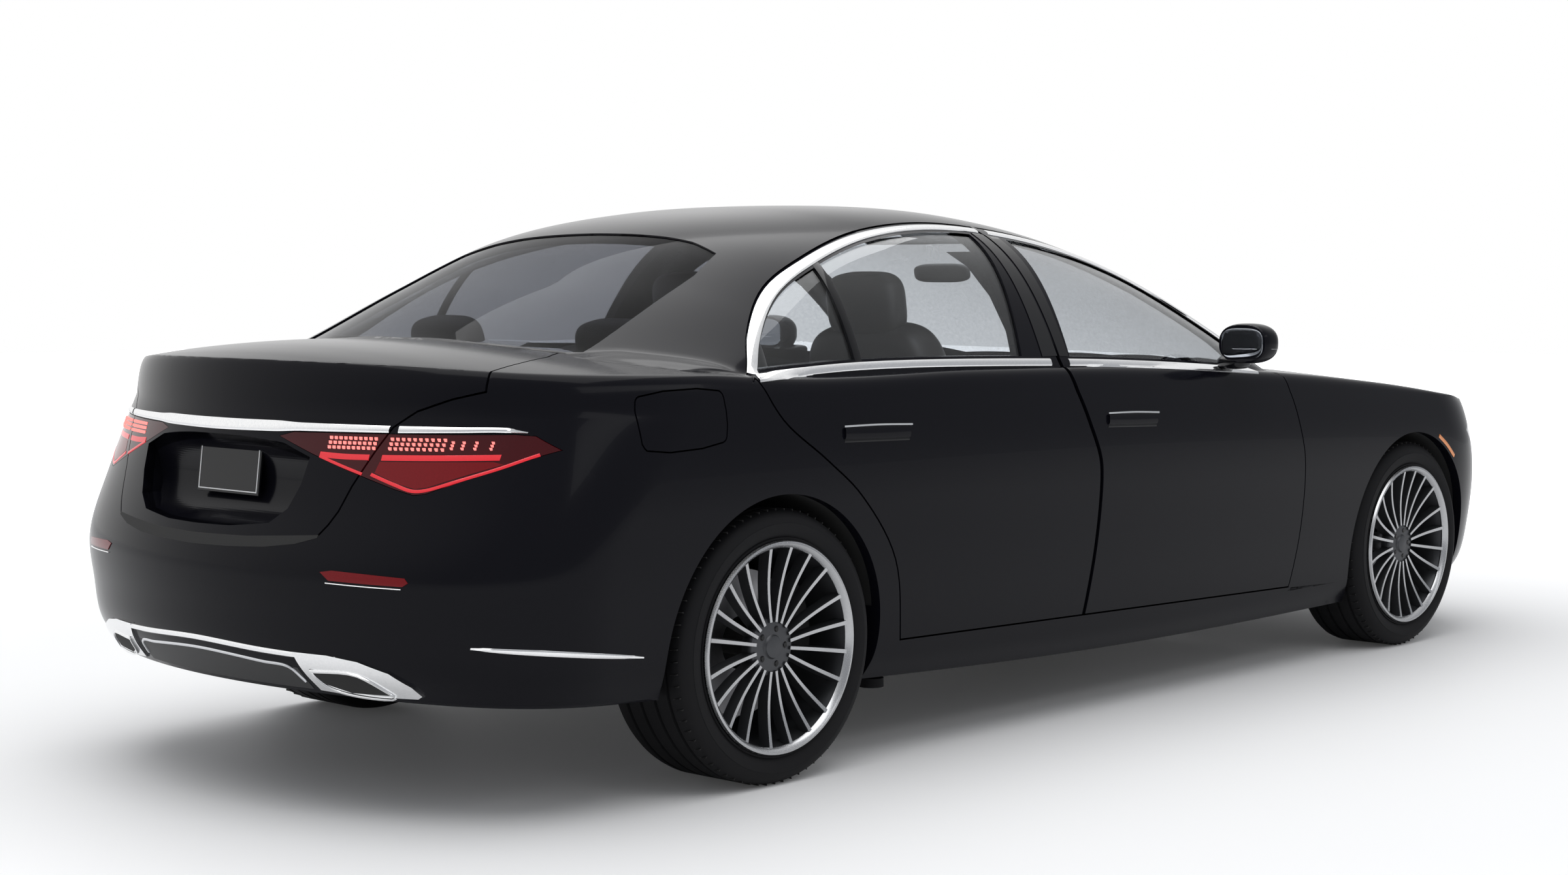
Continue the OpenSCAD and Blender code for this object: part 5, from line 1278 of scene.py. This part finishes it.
corners = [(x * FLOOR_HALF, y * FLOOR_HALF, 0) for x, y in ((-1, -1), (1, -1), (1, 1), (-1, 1))]
floor = make("floor", corners, [[0, 1, 2, 3]], False)
floor.data.materials.append(white_stage("pale_floor", (.86, .86, .86)))
DIM, WHITE, BRIGHT_WAY = (.42, .43, .45, 1), (1, 1, 1, 1), (0, .8, .6)
world = bpy.data.worlds.new("studio")
bpy.context.scene.world = world
world.use_nodes = True
wn, wl = world.node_tree.nodes, world.node_tree.links
back = wn["Background"]
mixc = wn.new("ShaderNodeMix")
mixc.data_type = "RGBA"
mixc.inputs["A"].default_value, mixc.inputs["B"].default_value = DIM, WHITE
where, along, glow = (wn.new("ShaderNode" + k) for k in ("TexCoord", "VectorMath", "MapRange"))
along.operation, glow.interpolation_type = "DOT_PRODUCT", "SMOOTHSTEP"
along.inputs[1].default_value = BRIGHT_WAY
for key, v in (("From Min", -.25), ("From Max", .75), ("To Min", .0), ("To Max", 1.0)):
    glow.inputs[key].default_value = v
wire(wl, (where.outputs["Generated"], along.inputs[0]),
     (along.outputs["Value"], glow.inputs["Value"]),
     (seen(wn, wl, glow.outputs["Result"]), mixc.inputs["Factor"]),
     (mixc.outputs["Result"], back.inputs["Color"]))
print("floor and background:", floor.name, world.name)

# %% [markdown]
# ## Lamps and camera
# One wide soft lamp hangs over the car and a weak strip stands beside it. The camera's place,
# lens and shift were solved from the wheels and the edges of the body in the picture.

# %% Lamps and camera
def lamp_at(name, size, power, at, to):
    data = bpy.data.lights.new(name, "AREA")
    data.shape, data.size, data.size_y, data.energy = "RECTANGLE", size[0], size[1], power
    ob = link(name, data)
    ob.location = at
    ob.rotation_euler = (Vector(to) - Vector(at)).to_track_quat("-Z", "Y").to_euler()


lamp_at("overhead", (12, 8), 560, (-.5, .5, 6.5), (0, 0, 0))
lamp_at("side_soft", (7, 1.2), 30, (.5, -6.0, 4.2), (0, 0, .9))
camera = link("camera", bpy.data.cameras.new("camera"))
bpy.context.scene.camera = camera
FOCAL, SENSOR, SHIFT = 56.3, 36, (.0019, .0497)
CAMERA_AT, YAW, PITCH = (-6.017, -5.136, 1.3075), .7495, -.0997
camera.data.lens, camera.data.sensor_width = FOCAL, SENSOR
camera.data.shift_x, camera.data.shift_y = SHIFT
camera.data.clip_end = 200
camera.location = CAMERA_AT
aim = Vector((math.cos(YAW) * math.cos(PITCH), math.sin(YAW) * math.cos(PITCH), math.sin(PITCH)))
camera.rotation_euler = aim.to_track_quat("-Z", "Y").to_euler()
bpy.context.scene.view_settings.view_transform = "Standard"
print("camera at", tuple(camera.location))

# %% [markdown]
# ## Clearing up
# The cutting tools are removed, each new piece is left with one finish, and the solids that stay
# get theirs.

# %% Finish
for ob in scrap + [lower, cabin, lower_in, cabin_in]:
    if ob.name in bpy.data.objects:
        bpy.data.objects.remove(ob)
SLOT = {PAINT: "body_paint", GLOSS: "black_trim", CHROME: "bright_trim", SATIN: "alloy",
        WHEEL: "wheel_alloy", WHEEL_DARK: "wheel_alloy", RUBBER: "tyre", TRIM: "cabin_trim",
        UNDER: "underbody", LEATHER: "seat_leather", STEEL: "steel", RED: "lamp_red",
        SMOKE: "lamp_red", AMBER: "lamp_red", LIT: "lamp_red", SPARK: "lamp_red",
        LENS: "lamp_clear", LINE: "bright_trim", GLASS: "window_glass", GLASS_PAINTED_SHADE: "window_glass",
        MIRROR: "bright_trim"}
for ob in list(bpy.data.objects):
    if ob.type == "MESH" and ob is not floor and ob not in frame["nodes"].values():
        mat = next((m for m in ob.data.materials if m in SLOT), None)
        if mat is None:
            continue
        ob.data.materials.clear()
        ob.data.materials.append(mat)
        ob.data.polygons.foreach_set("material_index", [0] * len(ob.data.polygons))
for name, mat in NODE_FINISH.items():
    ob = frame["nodes"][name]
    ob.data.materials.clear()
    ob.data.materials.append(mat)
